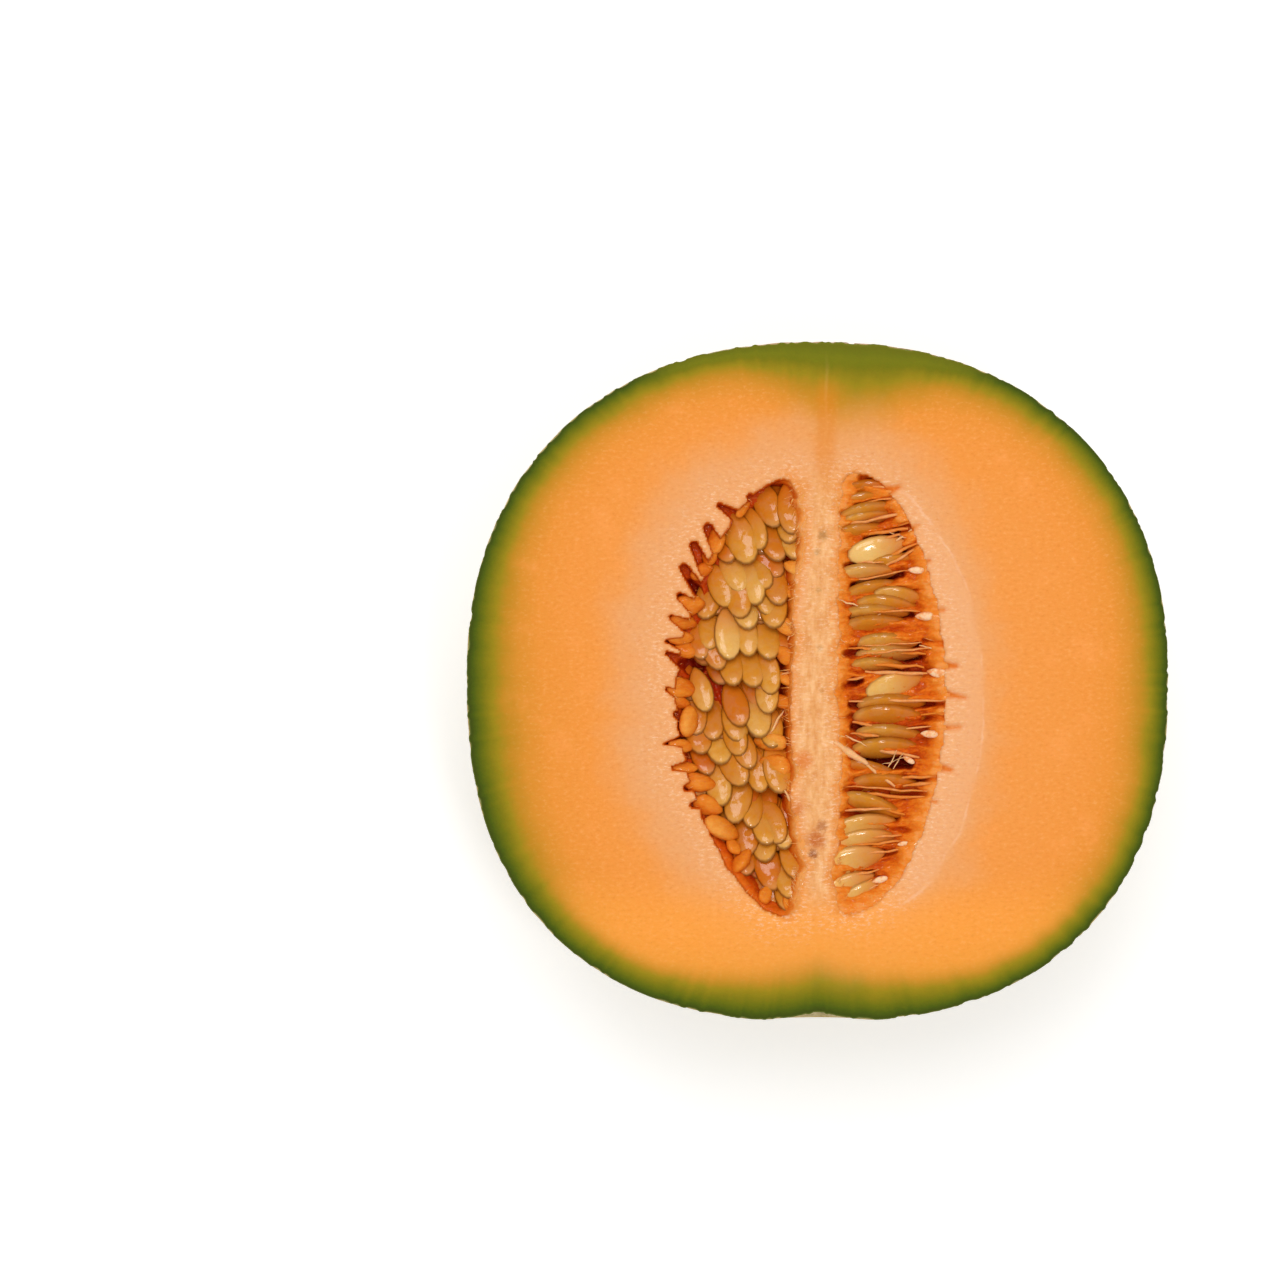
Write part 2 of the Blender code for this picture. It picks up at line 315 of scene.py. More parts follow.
    def edge_distance(self, place: Wire, cell: float) -> Wire:
        """Distance to the nearest wall of a Voronoi pattern whose cells are this wide."""
        sockets = {"Vector": place, "Scale": 1 / cell}
        return self.out("ShaderNodeTexVoronoi", {"feature": "DISTANCE_TO_EDGE"}, sockets, "Distance") * cell

    def attribute(self, name: str) -> Wire:
        """A number that the mesh carries."""
        return self.out("ShaderNodeAttribute", {"attribute_name": name}, None, "Fac")


# Shape helpers


def link(piece: bpy.types.Object) -> bpy.types.Object:
    """Puts an object in the scene."""
    bpy.context.scene.collection.objects.link(piece)
    return piece


def mesh_object(name: str, points: Any, faces: Any) -> bpy.types.Object:
    """Makes an object of points and faces, shaded smooth.

    Args:
        name: The object's name.
        points: Its points in metres.
        faces: Its faces, as lists of point numbers.

    Returns:
        The object, in the scene.
    """
    mesh = bpy.data.meshes.new(name)
    corners = [tuple(map(float, point)) for point in points]
    mesh.from_pydata(corners, [], [list(map(int, face)) for face in faces])
    mesh.shade_smooth()
    return link(bpy.data.objects.new(name, mesh))


def read(source: Any, key: str, width: int, kind: type = float) -> np.ndarray:
    """Reads one thing of every item in a part of a mesh.

    Args:
        source: The part, such as its vertices.
        key: What is read.
        width: How many numbers an item has of it.
        kind: The numbers' type.

    Returns:
        The numbers, a row for each item.
    """
    values = np.empty(len(source) * width, dtype=kind)
    source.foreach_get(key, values)
    return values.reshape(-1, width)


def carry(mesh: bpy.types.Mesh, name: str, values: Any, kind: str = "FLOAT") -> None:
    """Stores a number or a vector on each point of a mesh.

    Args:
        mesh: The mesh.
        name: The attribute's name.
        values: A number or a vector for each point.
        kind: FLOAT or FLOAT_VECTOR.
    """
    layer = mesh.attributes.new(name, kind, "POINT")
    numbers = np.asarray(values, dtype=np.float32).ravel()
    layer.data.foreach_set("value" if kind == "FLOAT" else "vector", numbers)


def baked(maker: bpy.types.Object, name: str) -> bpy.types.Object:
    """Turns an object with a Geometry Nodes modifier into a plain mesh object.

    Args:
        maker: The object with the modifier, which is removed.
        name: The plain object's name.

    Returns:
        The plain object, in the scene.
    """
    graph = bpy.context.evaluated_depsgraph_get()
    mesh = bpy.data.meshes.new_from_object(maker.evaluated_get(graph), depsgraph=graph)
    bpy.data.objects.remove(maker)
    mesh.name = name
    mesh.shade_smooth()
    return link(bpy.data.objects.new(name, mesh))


def settle(piece: bpy.types.Object, slot: Slot, *stands_for: str) -> bpy.types.Object:
    """Makes a finished piece ride on the half, and reports it.

    Args:
        piece: The piece.
        slot: Its material slot in the record; not used.
        *stands_for: The solids that it stands for, if any.

    Returns:
        The piece.
    """
    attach(piece, "root")
    if stands_for:
        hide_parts(*stands_for)
    log.info("%s: %d faces", piece.name, len(piece.data.polygons))
    return piece


class GeometryTree:
    """A Geometry Nodes tree with named inputs, and the modifier that runs it."""

    sockets: tuple[tuple[type, str], ...] = (
        (int, "NodeSocketInt"), (float, "NodeSocketFloat"), (tuple, "NodeSocketVector"),
        (bpy.types.Material, "NodeSocketMaterial"), (bpy.types.Object, "NodeSocketObject"),
    )

    def __init__(self, name: str, inputs: Mapping[str, Any]) -> None:
        """Makes the tree and its inputs.

        Args:
            name: The tree's name.
            inputs: The values of its inputs besides the geometry, by their names.
        """
        self.tree = bpy.data.node_groups.new(name, "GeometryNodeTree")
        self.inputs = dict(inputs)
        self.tree.interface.new_socket("Geometry", in_out="INPUT", socket_type="NodeSocketGeometry")
        self.tree.interface.new_socket("Geometry", in_out="OUTPUT", socket_type="NodeSocketGeometry")
        for label, value in self.inputs.items():
            kind = next(socket for form, socket in self.sockets if isinstance(value, form))
            self.tree.interface.new_socket(label, in_out="INPUT", socket_type=kind)
        self.maker = NodeMaker(self.tree)
        self.entry = self.maker.node("NodeGroupInput")
        self.exit = self.maker.node("NodeGroupOutput")

    def given(self, label: str) -> Wire:
        """One of the tree's inputs."""
        return Wire(self.maker, self.entry.outputs[label])

    def carried(self, name: str, kind: str = "FLOAT") -> Wire:
        """A value that each point carries."""
        return self.maker.out("GeometryNodeInputNamedAttribute", {"data_type": kind}, {"Name": name})

    def place(self) -> Wire:
        """Each point's place, in millimetres."""
        return self.maker.vector("SCALE", self.maker.out("GeometryNodeInputPosition"), 1 / MM)

    def moved(self, geometry: Wire, offset: Wire) -> Wire:
        """The geometry with each point moved by the offset."""
        return self.maker.out("GeometryNodeSetPosition", None, {"Geometry": geometry, "Offset": offset})

    def finish(self, geometry: Wire) -> None:
        """Ends the tree: real geometry, with its material.

        Args:
            geometry: The geometry.
        """
        real = self.maker.out("GeometryNodeRealizeInstances", None, {"Geometry": geometry})
        sockets = {"Geometry": real, "Material": self.given("Finish")}
        dressed = self.maker.out("GeometryNodeSetMaterial", None, sockets)
        self.tree.links.new(dressed.socket, self.exit.inputs[0])

    def run(self, host: bpy.types.Object, name: str) -> bpy.types.Object:
        """Runs the tree on an object.

        Args:
            host: The object whose geometry goes in. It is used up.
            name: The name of the piece that comes out.

        Returns:
            The piece, a plain mesh.
        """
        modifier = host.modifiers.new(self.tree.name, "NODES")
        modifier.node_group = self.tree
        for socket in self.tree.interface.items_tree:
            if socket.in_out == "INPUT" and socket.name in self.inputs:
                modifier[socket.identifier] = self.inputs[socket.name]
        return baked(host, name)


# The melon's form


@dataclass(frozen=True)
class MelonForm:
    """The melon's outline over the crests of its net: two superellipses that meet across the middle."""

    radius: float = 73.7 * MM
    blossom_reach: float = 71.0 * MM
    blossom_squareness: float = 2.25
    stem_reach: float = 72.0 * MM
    stem_squareness: float = 2.4
    dish_radius: float = 7.5 * MM
    dish_depth: float = 1.8 * MM
    centre: Vector = field(default_factory=lambda: Vector((0, 0.0002, CUT_Z)))


@dataclass(frozen=True)
class Net:
    """The corky net on the rind, in millimetres on a ball of the melon's radius."""

    coarse_cell: float = 5.8
    fine_cell: float = 3.3
    coarse_rope: float = 0.74
    fine_rope: float = 0.52
    fine_height: float = 0.85
    wander: float = 2.6
    wander_scale: float = 0.17
    tracts: float = 2.5
    tract_height: float = 0.9
    relief: float = 0.9

    def field(self, maker: NodeMaker, direction: Wire, radius: float) -> tuple[Wire, Wire]:
        """The net's height over the skin, made alike in the geometry and in the shader.

        Args:
            maker: The maker of the tree's nodes.
            direction: The unit vector from the melon's centre.
            radius: The melon's radius in millimetres.

        Returns:
            The height of the ropes, 0 on the skin and 1 on a crest, and that of the broad tracts alone.
        """
        place = maker.vector("SCALE", direction, radius)
        shift = maker.drift(place, self.wander_scale)
        wandered = maker.vector("ADD", place, maker.vector("SCALE", shift, self.wander))
        thickness = 0.75 + maker.noise(place, 0.09, 1) * 0.5
        coarse = maker.edge_distance(wandered, self.coarse_cell) / (thickness * self.coarse_rope)
        moved = maker.vector("ADD", wandered, (31.0, 17.0, 5.0))
        fine = maker.edge_distance(moved, self.fine_cell) / (thickness * self.fine_rope)
        present = maker.smooth(maker.noise(place, 0.2, 1), 0.40, 0.50)
        ropes = maker.smooth(coarse, 1.2, 0.2).max(maker.smooth(fine, 1.2, 0.2) * present * self.fine_height)
        x, _, z = maker.split(direction)
        turn = maker.math("ARCTAN2", x, 0 - z) * self.tracts
        wave = abs(maker.math("FRACT", turn + maker.noise(place, 0.035, 2) * 1.6) - 0.5)
        broken = maker.smooth(maker.noise(place, 0.11, 1), 0.42, 0.56)
        tract = maker.smooth(wave, 0.045, 0.02) * broken
        return ropes.max(tract * self.tract_height), tract


FORM = MelonForm()
NET = Net()


# Finishes


@dataclass(frozen=True)
class Finish:
    """A finish: the constants of a Principled shader, which a subclass paints."""

    name: str
    roughness: float = 0.5
    specular: float = 0.5
    subsurface: float = 0.0
    subsurface_scale: float = 1.0 * MM
    subsurface_radius: tuple[float, float, float] = (1.0, 0.45, 0.18)
    coat_roughness: float = 0.1
    sheen_tint: Rgba = (1.0, 0.62, 0.36, 1.0)

    def make(self) -> bpy.types.Material:
        """Makes the material.

        Returns:
            The material, whose constants sit on the shader and whose changes paint() links.
        """
        material = bpy.data.materials.new(self.name)
        material.use_nodes = True
        material.node_tree.nodes.clear()
        maker = NodeMaker(material.node_tree)
        constants = {
            "Roughness": self.roughness,
            "Specular IOR Level": self.specular,
            "Subsurface Weight": self.subsurface,
            "Subsurface Scale": self.subsurface_scale,
            "Subsurface Radius": self.subsurface_radius,
            "Coat Roughness": self.coat_roughness,
            "Specular Tint": self.sheen_tint,
        }
        shader = maker.node("ShaderNodeBsdfPrincipled", {"subsurface_method": "RANDOM_WALK"}, constants)
        for name, wire in self.paint(maker).items():
            material.node_tree.links.new(wire.socket, shader.inputs[name])
        maker.node("ShaderNodeOutputMaterial", None, {"Surface": Wire(maker, shader.outputs[0])})
        return material

    def paint(self, maker: NodeMaker) -> dict[str, Wire]:
        """What changes over the surface, by the shader's socket. Each finish has its own."""
        raise NotImplementedError

    @staticmethod
    def place(maker: NodeMaker) -> Wire:
        """The place on the object, in millimetres."""
        return maker.vector("SCALE", maker.out("ShaderNodeTexCoord", None, None, "Object"), 1 / MM)

    @staticmethod
    def bump(maker: NodeMaker, height: Wire, distance: float, strength: float = 1.0) -> Wire:
        """A bumped normal from a height of 0 to 1 and its real size."""
        sockets = {"Height": height, "Distance": distance, "Strength": strength}
        return maker.out("ShaderNodeBump", None, sockets)


@dataclass(frozen=True)
class RindFinish(Finish):
    """Corky tan net over green skin."""

    name: str = "rind"
    roughness: float = 0.7
    specular: float = 0.35
    sheen_tint: Rgba = (1.0, 1.0, 0.9, 1.0)

    def paint(self, maker: NodeMaker) -> dict[str, Wire]:
        """Colours the skin in the cells, the ropes and the tracts, paints shade along the ropes' sides, and
        roughens the cork.

        Args:
            maker: The maker of the material's nodes.

        Returns:
            What changes over the surface, by the shader's socket.
        """
        place = self.place(maker)
        centre = tuple(part / MM for part in FORM.centre)
        direction = maker.vector("NORMALIZE", maker.vector("SUBTRACT", place, centre))
        height, tract = NET.field(maker, direction, FORM.radius / MM)
        on_ball = maker.vector("SCALE", direction, FORM.radius / MM)
        patches = maker.noise(on_ball, 0.03, 3, 0.6)
        skin = maker.ramp(patches, (
            (0.30, (84, 86, 32)), (0.45, (110, 118, 40)), (0.58, (138, 150, 58)), (0.72, (164, 164, 80)),
        ))
        speckle = maker.smooth(maker.noise(on_ball, 1.9, 3, 0.6), 0.56, 0.68)
        skin = maker.blend(speckle * 0.45, skin, paint(168, 172, 104))
        cork = maker.ramp(maker.noise(on_ball, 0.8, 4, 0.65), (
            (0.28, (160, 132, 80)), (0.50, (206, 180, 116)), (0.72, (238, 216, 150)),
        ))
        cork = maker.blend(maker.smooth(height, 0.8, 1.0) * 0.25, cork, paint(190, 148, 98))
        cork = maker.blend(tract * 0.5, cork, paint(206, 164, 116))
        elsewhere = maker.vector("ADD", on_ball, (90.0, 0.0, 0.0))
        browner = maker.smooth(maker.noise(elsewhere, 0.02, 2), 0.48, 0.68)
        cork = maker.blend(browner * 0.35, cork, paint(168, 132, 86))
        shoulder = maker.smooth(height, 0.18, 0.62)
        # Painted shade: the ropes' sides, where they meet the skin, are darkened to brown.
        flank_shade = maker.smooth(height, 0.05, 0.3) * maker.smooth(height, 0.62, 0.3)
        colour = maker.blend(shoulder, skin, cork)
        colour = maker.blend(flank_shade * 0.45, colour, paint(104, 84, 40))
        colour = self.ends(maker, direction, on_ball, colour)
        fine = maker.noise(on_ball, 3.2, 5, 0.7)
        crack = maker.smooth(maker.edge_distance(on_ball, 1.3), 0.10, 0.02) * shoulder
        relief = height * 0.6 + fine * 0.22 * shoulder - crack * 0.18
        rough = 0.42 + shoulder * 0.4
        return {"Base Color": colour, "Roughness": rough, "Normal": self.bump(maker, relief, 0.35 * MM)}

    @staticmethod
    def ends(maker: NodeMaker, direction: Wire, on_ball: Wire, colour: Wire) -> Wire:
        """Tan cork at the stem scar and at the blossom scar.

        Args:
            maker: The maker of the material's nodes.
            direction: The unit vector from the melon's centre.
            on_ball: The place on a ball of the melon's radius, in millimetres.
            colour: The colour so far.

        Returns:
            The colour with both scars.
        """
        _, along, _ = maker.split(direction)
        ragged = along + (maker.noise(on_ball, 0.35, 4, 0.6) - 0.5) * 0.03
        blossom = maker.smooth(ragged, 0.975, 0.992)
        stem = maker.smooth(ragged, -0.990, -0.996)
        colour = maker.blend(blossom * 0.8, colour, paint(206, 166, 122))
        return maker.blend(stem, colour, paint(196, 178, 128))


@dataclass(frozen=True)
class FleshFinish(Finish):
    """Moist orange flesh: green at the rind, pale round the seed pockets, red inside them and darkened there
    with depth as painted shade.
    """

    name: str = "flesh"
    roughness: float = 0.45
    specular: float = 0.22
    subsurface: float = 0.12
    subsurface_scale: float = 1.6 * MM
    layers: tuple[tuple[float, Rgb], ...] = (
        (0.0, (96, 108, 40)), (0.25, (46, 68, 0)), (1.0, (66, 88, 0)), (2.2, (104, 109, 0)),
        (4.2, (152, 131, 12)), (6.0, (190, 134, 26)), (8.5, (217, 141, 42)), (12.0, (234, 146, 54)),
        (18.0, (240, 149, 62)), (32.0, (241, 151, 68)),
    )
    # The pockets' walls by depth in millimetres: redder tissue, and painted shade that darkens them the
    # deeper they lie.
    walls: tuple[tuple[float, Rgb], ...] = (
        (0.0, (236, 146, 70)), (0.6, (224, 114, 28)), (1.8, (206, 80, 10)),
        (3.4, (184, 48, 4)), (6.0, (148, 26, 2)), (8.0, (112, 12, 2)),
    )
    crescent_middle: Pixel = (860, 700)
    crescent_reach: tuple[float, float] = (26.3, 46.5)
    crescent_line: float = 0.985

    def paint(self, maker: NodeMaker) -> dict[str, Wire]:
        """Colours the face by the distance from the rind and from the pockets, paints light toward its stem
        end, and colours their walls by depth with painted shade.

        Args:
            maker: The maker of the material's nodes.

        Returns:
            What changes over the surface, by the shader's socket.
        """
        place = self.place(maker)
        rim, wall, depth = (maker.attribute(name) for name in ("rim", "wall", "depth"))
        cloud = maker.noise(place, 0.10, 3, 0.6) - 0.5
        grain = maker.noise(place, 1.1, 4, 0.7) - 0.5
        layered = rim + cloud * 3.0 * maker.smooth(rim, 0.0, 5.0) + grain * 0.5 * maker.smooth(rim, 0.0, 1.0)
        layers = maker.ramp(layered, self.layers, self.layers[-1][0])
        colour = maker.blend(maker.smooth(cloud, 0.06, 0.24) * 0.35, layers, paint(252, 162, 84))
        colour = maker.blend(maker.smooth(rim, 12.0, 4.0), colour, layers)
        _, y, _ = maker.split(place)
        pale = maker.smooth(wall + cloud * 12, 17.0, 4.0) * (0.25 + 0.75 * maker.smooth(y, -54.0, -40.0))
        colour = maker.blend(pale * 0.9, colour, paint(234, 165, 108))
        # Painted light: the face is brightened toward its stem end, away from the rind.
        painted_light_below = maker.smooth(y, -38.0, -52.0) * maker.smooth(rim, 4.0, 9.0)
        colour = maker.blend(painted_light_below * 0.6, colour, paint(255, 164, 66))
        crown = maker.smooth(y, 62.0, 67.0) * maker.smooth(rim, 3.0, 1.5)
        colour = maker.blend(crown * 0.5, colour, paint(132, 130, 14))
        colour = self.crescent(maker, place, wall, colour)
        colour = self.axis(maker, place, wall, colour)
        colour = self.frost(maker, place, wall, colour)
        fleck = maker.noise(maker.vector("MULTIPLY", place, (0.9, 1.5, 1.0)), 1.0, 3, 0.65) - 0.5
        inland = maker.smooth(rim, 3.0, 12.0) * 0.32
        colour = maker.blend(maker.smooth(fleck, 0.0, 0.28) * inland, colour, paint(255, 192, 122))
        colour = maker.blend(maker.smooth(fleck, 0.0, -0.28) * inland, colour, paint(214, 116, 34))
        # Painted shade: the walls turn darker as well as redder with depth.
        inside = maker.ramp(depth + grain * 1.8, self.walls, self.walls[-1][0])
        colour = maker.blend(maker.smooth(depth, 0.08, 0.7), colour, inside)
        fibre = maker.noise(place, 0.9, 5, 0.75)
        relief = fibre * 0.5 + grain * 0.5
        rough = 0.5 - maker.smooth(wall, 5.0, 0.0) * 0.18
        return {"Base Color": colour, "Roughness": rough, "Normal": self.bump(maker, relief, 0.2 * MM, 0.7)}

    @staticmethod
    def frost(maker: NodeMaker, place: Wire, wall: Wire, colour: Wire) -> Wire:
        """Pinkish white flecks round the pockets, drawn out away from them.

        Args:
            maker: The maker of the material's nodes.
            place: The place in millimetres.
            wall: The distance from the nearest pocket, in millimetres.
            colour: The colour so far.

        Returns:
            The colour with them.
        """
        flecks = maker.noise(maker.vector("MULTIPLY", place, (0.8, 1.9, 1.0)), 1.0, 4, 0.75)
        near = maker.smooth(wall + (maker.noise(place, 0.3, 2) - 0.5) * 7, 8.0, 0.5)
        colour = maker.blend(maker.smooth(flecks, 0.50, 0.66) * near * 0.75, colour, paint(250, 206, 168))
        return maker.blend(maker.smooth(flecks, 0.44, 0.3) * near * 0.4, colour, paint(226, 138, 72))

    def crescent(self, maker: NodeMaker, place: Wire, wall: Wire, colour: Wire) -> Wire:
        """The pale band beside the right pocket, with a bright line along its outer edge.

        Args:
            maker: The maker of the material's nodes.
            place: The place in millimetres.
            wall: The distance from the nearest pocket, in millimetres.
            colour: The colour so far.

        Returns:
            The colour with them.
        """
        x, y, _ = maker.split(place)
        middle_x, middle_y = self.crescent_middle
        across = (x - PICTURE.x(middle_x) / MM) / self.crescent_reach[0]
        along = (y - PICTURE.y(middle_y) / MM) / self.crescent_reach[1]
        out = maker.math("SQRT", across * across + along * along)
        ragged = out + (maker.noise(place, 0.09, 3) - 0.5) * 0.09 + (maker.noise(place, 0.6, 3) - 0.5) * 0.02
        right = maker.smooth(across, 0.15, 0.5) * maker.smooth(wall, -0.5, 0.5)
        colour = maker.blend(maker.smooth(ragged, 1.025, 0.95) * right * 0.6, colour, paint(240, 174, 122))
        patchy = maker.smooth(maker.noise(place, 0.12, 2), 0.42, 0.6)
        line = maker.smooth(abs(ragged - self.crescent_line), 0.012, 0.003) * right * patchy
        return maker.blend(line * 0.4, colour, paint(250, 202, 166))

    @staticmethod
    def axis(maker: NodeMaker, place: Wire, wall: Wire, colour: Wire) -> Wire:
        """The orange streak over the septum, the cream septum and its grey specks.

        Args:
            maker: The maker of the material's nodes.
            place: The place in millimetres.
            wall: The distance from the nearest pocket, in millimetres.
            colour: The colour so far.

        Returns:
            The colour with them.
        """
        x, y, _ = maker.split(place)
        sway = (maker.noise(place, 0.2, 2) - 0.5) * 1.6
        from_axis = abs(x - 1.8 + sway)
        above = maker.smooth(y, 33.0, 45.0) * maker.smooth(y, 66.0, 58.0)
        streak = maker.smooth(from_axis, 3.4, 0.6) * above
        core = maker.smooth(from_axis, 0.6, 0.0) * maker.smooth(y, 38.0, 47.0) * maker.smooth(y, 70.0, 60.0)
        colour = maker.blend(core * 0.16, colour, paint(244, 184, 110))
        half_width = 3.0 + maker.smooth(y, 30.0, 8.0) * 1.7 - maker.smooth(y, -14.0, -38.0) * 2.2
        from_middle = abs(x - 0.6 - maker.smooth(y, -10.0, 30.0) * 1.2 + sway)
        between = maker.smooth(from_middle - half_width, 1.4, -1.2) * maker.smooth(y, 47.0, 38.0)
        between = between * maker.smooth(y, -50.0, -42.0)
        streaks = maker.noise(maker.vector("MULTIPLY", place, (0.62, 0.2, 1.0)), 1.0, 3, 0.6)
        cream = maker.ramp(streaks, (
            (0.34, (222, 148, 82)), (0.5, (234, 168, 104)), (0.66, (246, 190, 132)),
        ))
        colour = maker.blend(between * 0.85, colour, cream)
        colour = maker.blend(streak * 0.45, colour, paint(224, 128, 24))
        feathers = (maker.noise(maker.vector("MULTIPLY", place, (0.45, 2.0, 1.0)), 1.0, 4, 0.65) - 0.5) * 7.0
        seep = maker.smooth(wall + feathers, 1.9, -0.2) * maker.smooth(abs(x - 0.8), 10.0, 7.0)
        colour = maker.blend(seep * 0.7, colour, paint(234, 140, 54))
        for spot in SEPTUM_SPOTS:
            middle = (PICTURE.x(spot.px) / MM, PICTURE.y(spot.py) / MM, 0.0)
            off = maker.vector("DISTANCE", maker.join(x, y, 0.0), middle, output=1)
            uneven = off + (maker.noise(place, 1.6, 3, 0.6) - 0.5) * 1.4
            shade = maker.smooth(uneven, spot.size, spot.size * 0.2) * spot.strength
            colour = maker.blend(shade, colour, paint(*spot.colour))
        return colour


@dataclass(frozen=True)
class Spot:
    """A stain on the septum: its picture place, its size in millimetres, and its colour and strength."""

    px: float
    py: float
    size: float
    strength: float
    colour: Rgb


SEPTUM_SPOTS = (
    Spot(803, 486, 2.8, 0.5, (226, 136, 44)),
    Spot(787, 917, 2.4, 0.45, (234, 142, 66)),
    Spot(856, 913, 2.8, 0.4, (240, 148, 72)),
    Spot(823, 535, 1.5, 0.65, (160, 112, 58)),
    Spot(817, 552, 1.1, 0.5, (164, 116, 62)),
    Spot(819, 590, 0.9, 0.4, (172, 120, 62)),
    Spot(820, 648, 1.1, 0.35, (174, 122, 66)),
    Spot(822, 690, 0.8, 0.3, (180, 120, 62)),
    Spot(815, 775, 1.4, 0.35, (204, 120, 52)),
    Spot(816, 840, 3.0, 0.75, (186, 84, 18)),
    Spot(813, 854, 1.5, 0.8, (128, 40, 4)),
    Spot(822, 826, 1.8, 0.6, (150, 66, 20)),
    Spot(804, 760, 2.8, 0.6, (222, 108, 22)),
    Spot(797, 808, 2.6, 0.6, (206, 104, 28)),
)


@dataclass(frozen=True)
class PulpFinish(Finish):
    """Wet, translucent orange pulp that turns red in its depth and is darkened there as painted shade."""

    name: str = "pulp"
    roughness: float = 0.4
    specular: float = 0.14
    subsurface: float = 0.2
    subsurface_scale: float = 1.2 * MM
    coat_roughness: float = 0.08
    depth_span: float = 9.0
    # Colours by depth in millimetres: redder, and darker as painted shade, the deeper the pulp lies.
    shades: tuple[tuple[float, Rgb], ...] = (
        (0.3, (240, 158, 82)), (1.2, (232, 130, 42)), (2.4, (222, 104, 18)), (3.8, (206, 74, 6)),
        (5.6, (182, 42, 3)), (7.5, (140, 20, 2)),
    )

    def paint(self, maker: NodeMaker) -> dict[str, Wire]:
        """Darkens the pulp with its depth under the cut as painted shade, and streaks it with fibres.

        Args:
            maker: The maker of the material's nodes.

        Returns:
            What changes over the surface, by the shader's socket.
        """
        place = self.place(maker)
        _, _, z = maker.split(place)
        fibre = maker.noise(maker.vector("MULTIPLY", place, (0.45, 1.5, 1.0)), 1.0, 4, 0.7)
        mottle = maker.noise(place, 0.5, 3, 0.6)
        depth = CUT_Z / MM - z + (fibre - 0.5) * 2.6 + (mottle - 0.5) * 2.6
        # Painted shade: the deeper pulp is darker as well as redder.
        colour = maker.ramp(depth, self.shades, self.depth_span)
        colour = maker.blend(maker.smooth(fibre, 0.58, 0.72) * 0.35, colour, paint(244, 172, 90))
        wet = maker.smooth(maker.noise(place, 1.3, 2), 0.56, 0.66)
        return {"Base Color": colour, "Coat Weight": wet * 0.5, "Normal": self.bump(maker, fibre, 0.25 * MM)}


@dataclass(frozen=True)
class SeedFinish(Finish):
    """Wet golden seeds with an olive line round the edge, which is partly painted contact shade."""

    name: str = "seed"
    roughness: float = 0.42
    specular: float = 0.22
    subsurface: float = 0.1
    subsurface_scale: float = 0.8 * MM
    # Strength of the olive edge line with its painted contact shade.
    outline: float = 0.75
    tints: tuple[tuple[float, Rgb], ...] = (
        (0.0, (237, 189, 106)), (0.35, (211, 138, 38)), (0.65, (202, 110, 14)), (1.0, (200, 78, 3)),
    )

    def paint(self, maker: NodeMaker) -> dict[str, Wire]:
        """Tints each seed, from pale to pulp-stained, and darkens its edge, with an olive line that is partly
        painted contact shade, and its pointed end.

        Args:
            maker: The maker of the material's nodes.

        Returns:
            What changes over the surface, by the shader's socket.
        """
        place = self.place(maker)
        tint, edge, along = (maker.attribute(name) for name in ("tint", "edge", "along"))
        mottle = maker.noise(place, 0.8, 4, 0.6) - 0.5
        colour = maker.ramp(tint + mottle * 0.3, self.tints)
        colour = maker.blend(maker.smooth(along + mottle * 0.6, 0.5, -0.8) * 0.7, colour, paint(204, 102, 12))
        colour = maker.blend(maker.smooth(along, 0.5, 1.0) * 0.3, colour, paint(238, 192, 116))
        grain = maker.noise(place, 3.0, 3, 0.7)
        colour = maker.blend(maker.smooth(grain, 0.5, 0.75) * 0.2, colour, paint(180, 116, 44))
        # Olive edge line, partly painted shade where the seeds touch.
        colour = maker.blend(maker.smooth(edge, 0.9, 0.99) * self.outline, colour, paint(126, 70, 6))
        wet = maker.smooth(maker.noise(place, 0.6, 2), 0.42, 0.55)
        return {"Base Color": colour, "Coat Weight": wet * 0.8, "Normal": self.bump(maker, mottle, 0.1 * MM)}


@dataclass(frozen=True)
class PlainPulpFinish(Finish):
    """Pale, wet stalks and strands."""

    name: str = "stalk"
    roughness: float = 0.35
    specular: float = 0.3
    subsurface: float = 0.3
    subsurface_scale: float = 1.0 * MM
    light: Rgba = paint(252, 206, 164)
    dark: Rgba = paint(236, 150, 84)

    def paint(self, maker: NodeMaker) -> dict[str, Wire]:
        """Mottles the pale tissue.

        Args:
            maker: The maker of the material's nodes.

        Returns:
            What changes over the surface, by the shader's socket.
        """
        place = self.place(maker)
        mottle = maker.noise(place, 0.8, 3, 0.6)
        colour = maker.blend(maker.smooth(mottle, 0.4, 0.65), self.light, self.dark)
        return {"Base Color": colour}


@dataclass(frozen=True)
class StrandFinish(PlainPulpFinish):
    """Fibres and sheet edges, from white to orange by their tint."""

    name: str = "strand"
    pale: Rgba = paint(248, 192, 136)
    ripe: Rgba = paint(224, 126, 38)

    def paint(self, maker: NodeMaker) -> dict[str, Wire]:
        """Mixes pale and ripe tissue.

        Args:
            maker: The maker of the material's nodes.

        Returns:
            What changes over the surface, by the shader's socket.
        """
        mottle = maker.noise(self.place(maker), 0.7, 3, 0.6) - 0.5
        share = maker.smooth(maker.attribute("tint") + mottle * 0.8, 0.0, 1.0)
        return {"Base Color": maker.blend(share, self.pale, self.ripe)}


# Pieces


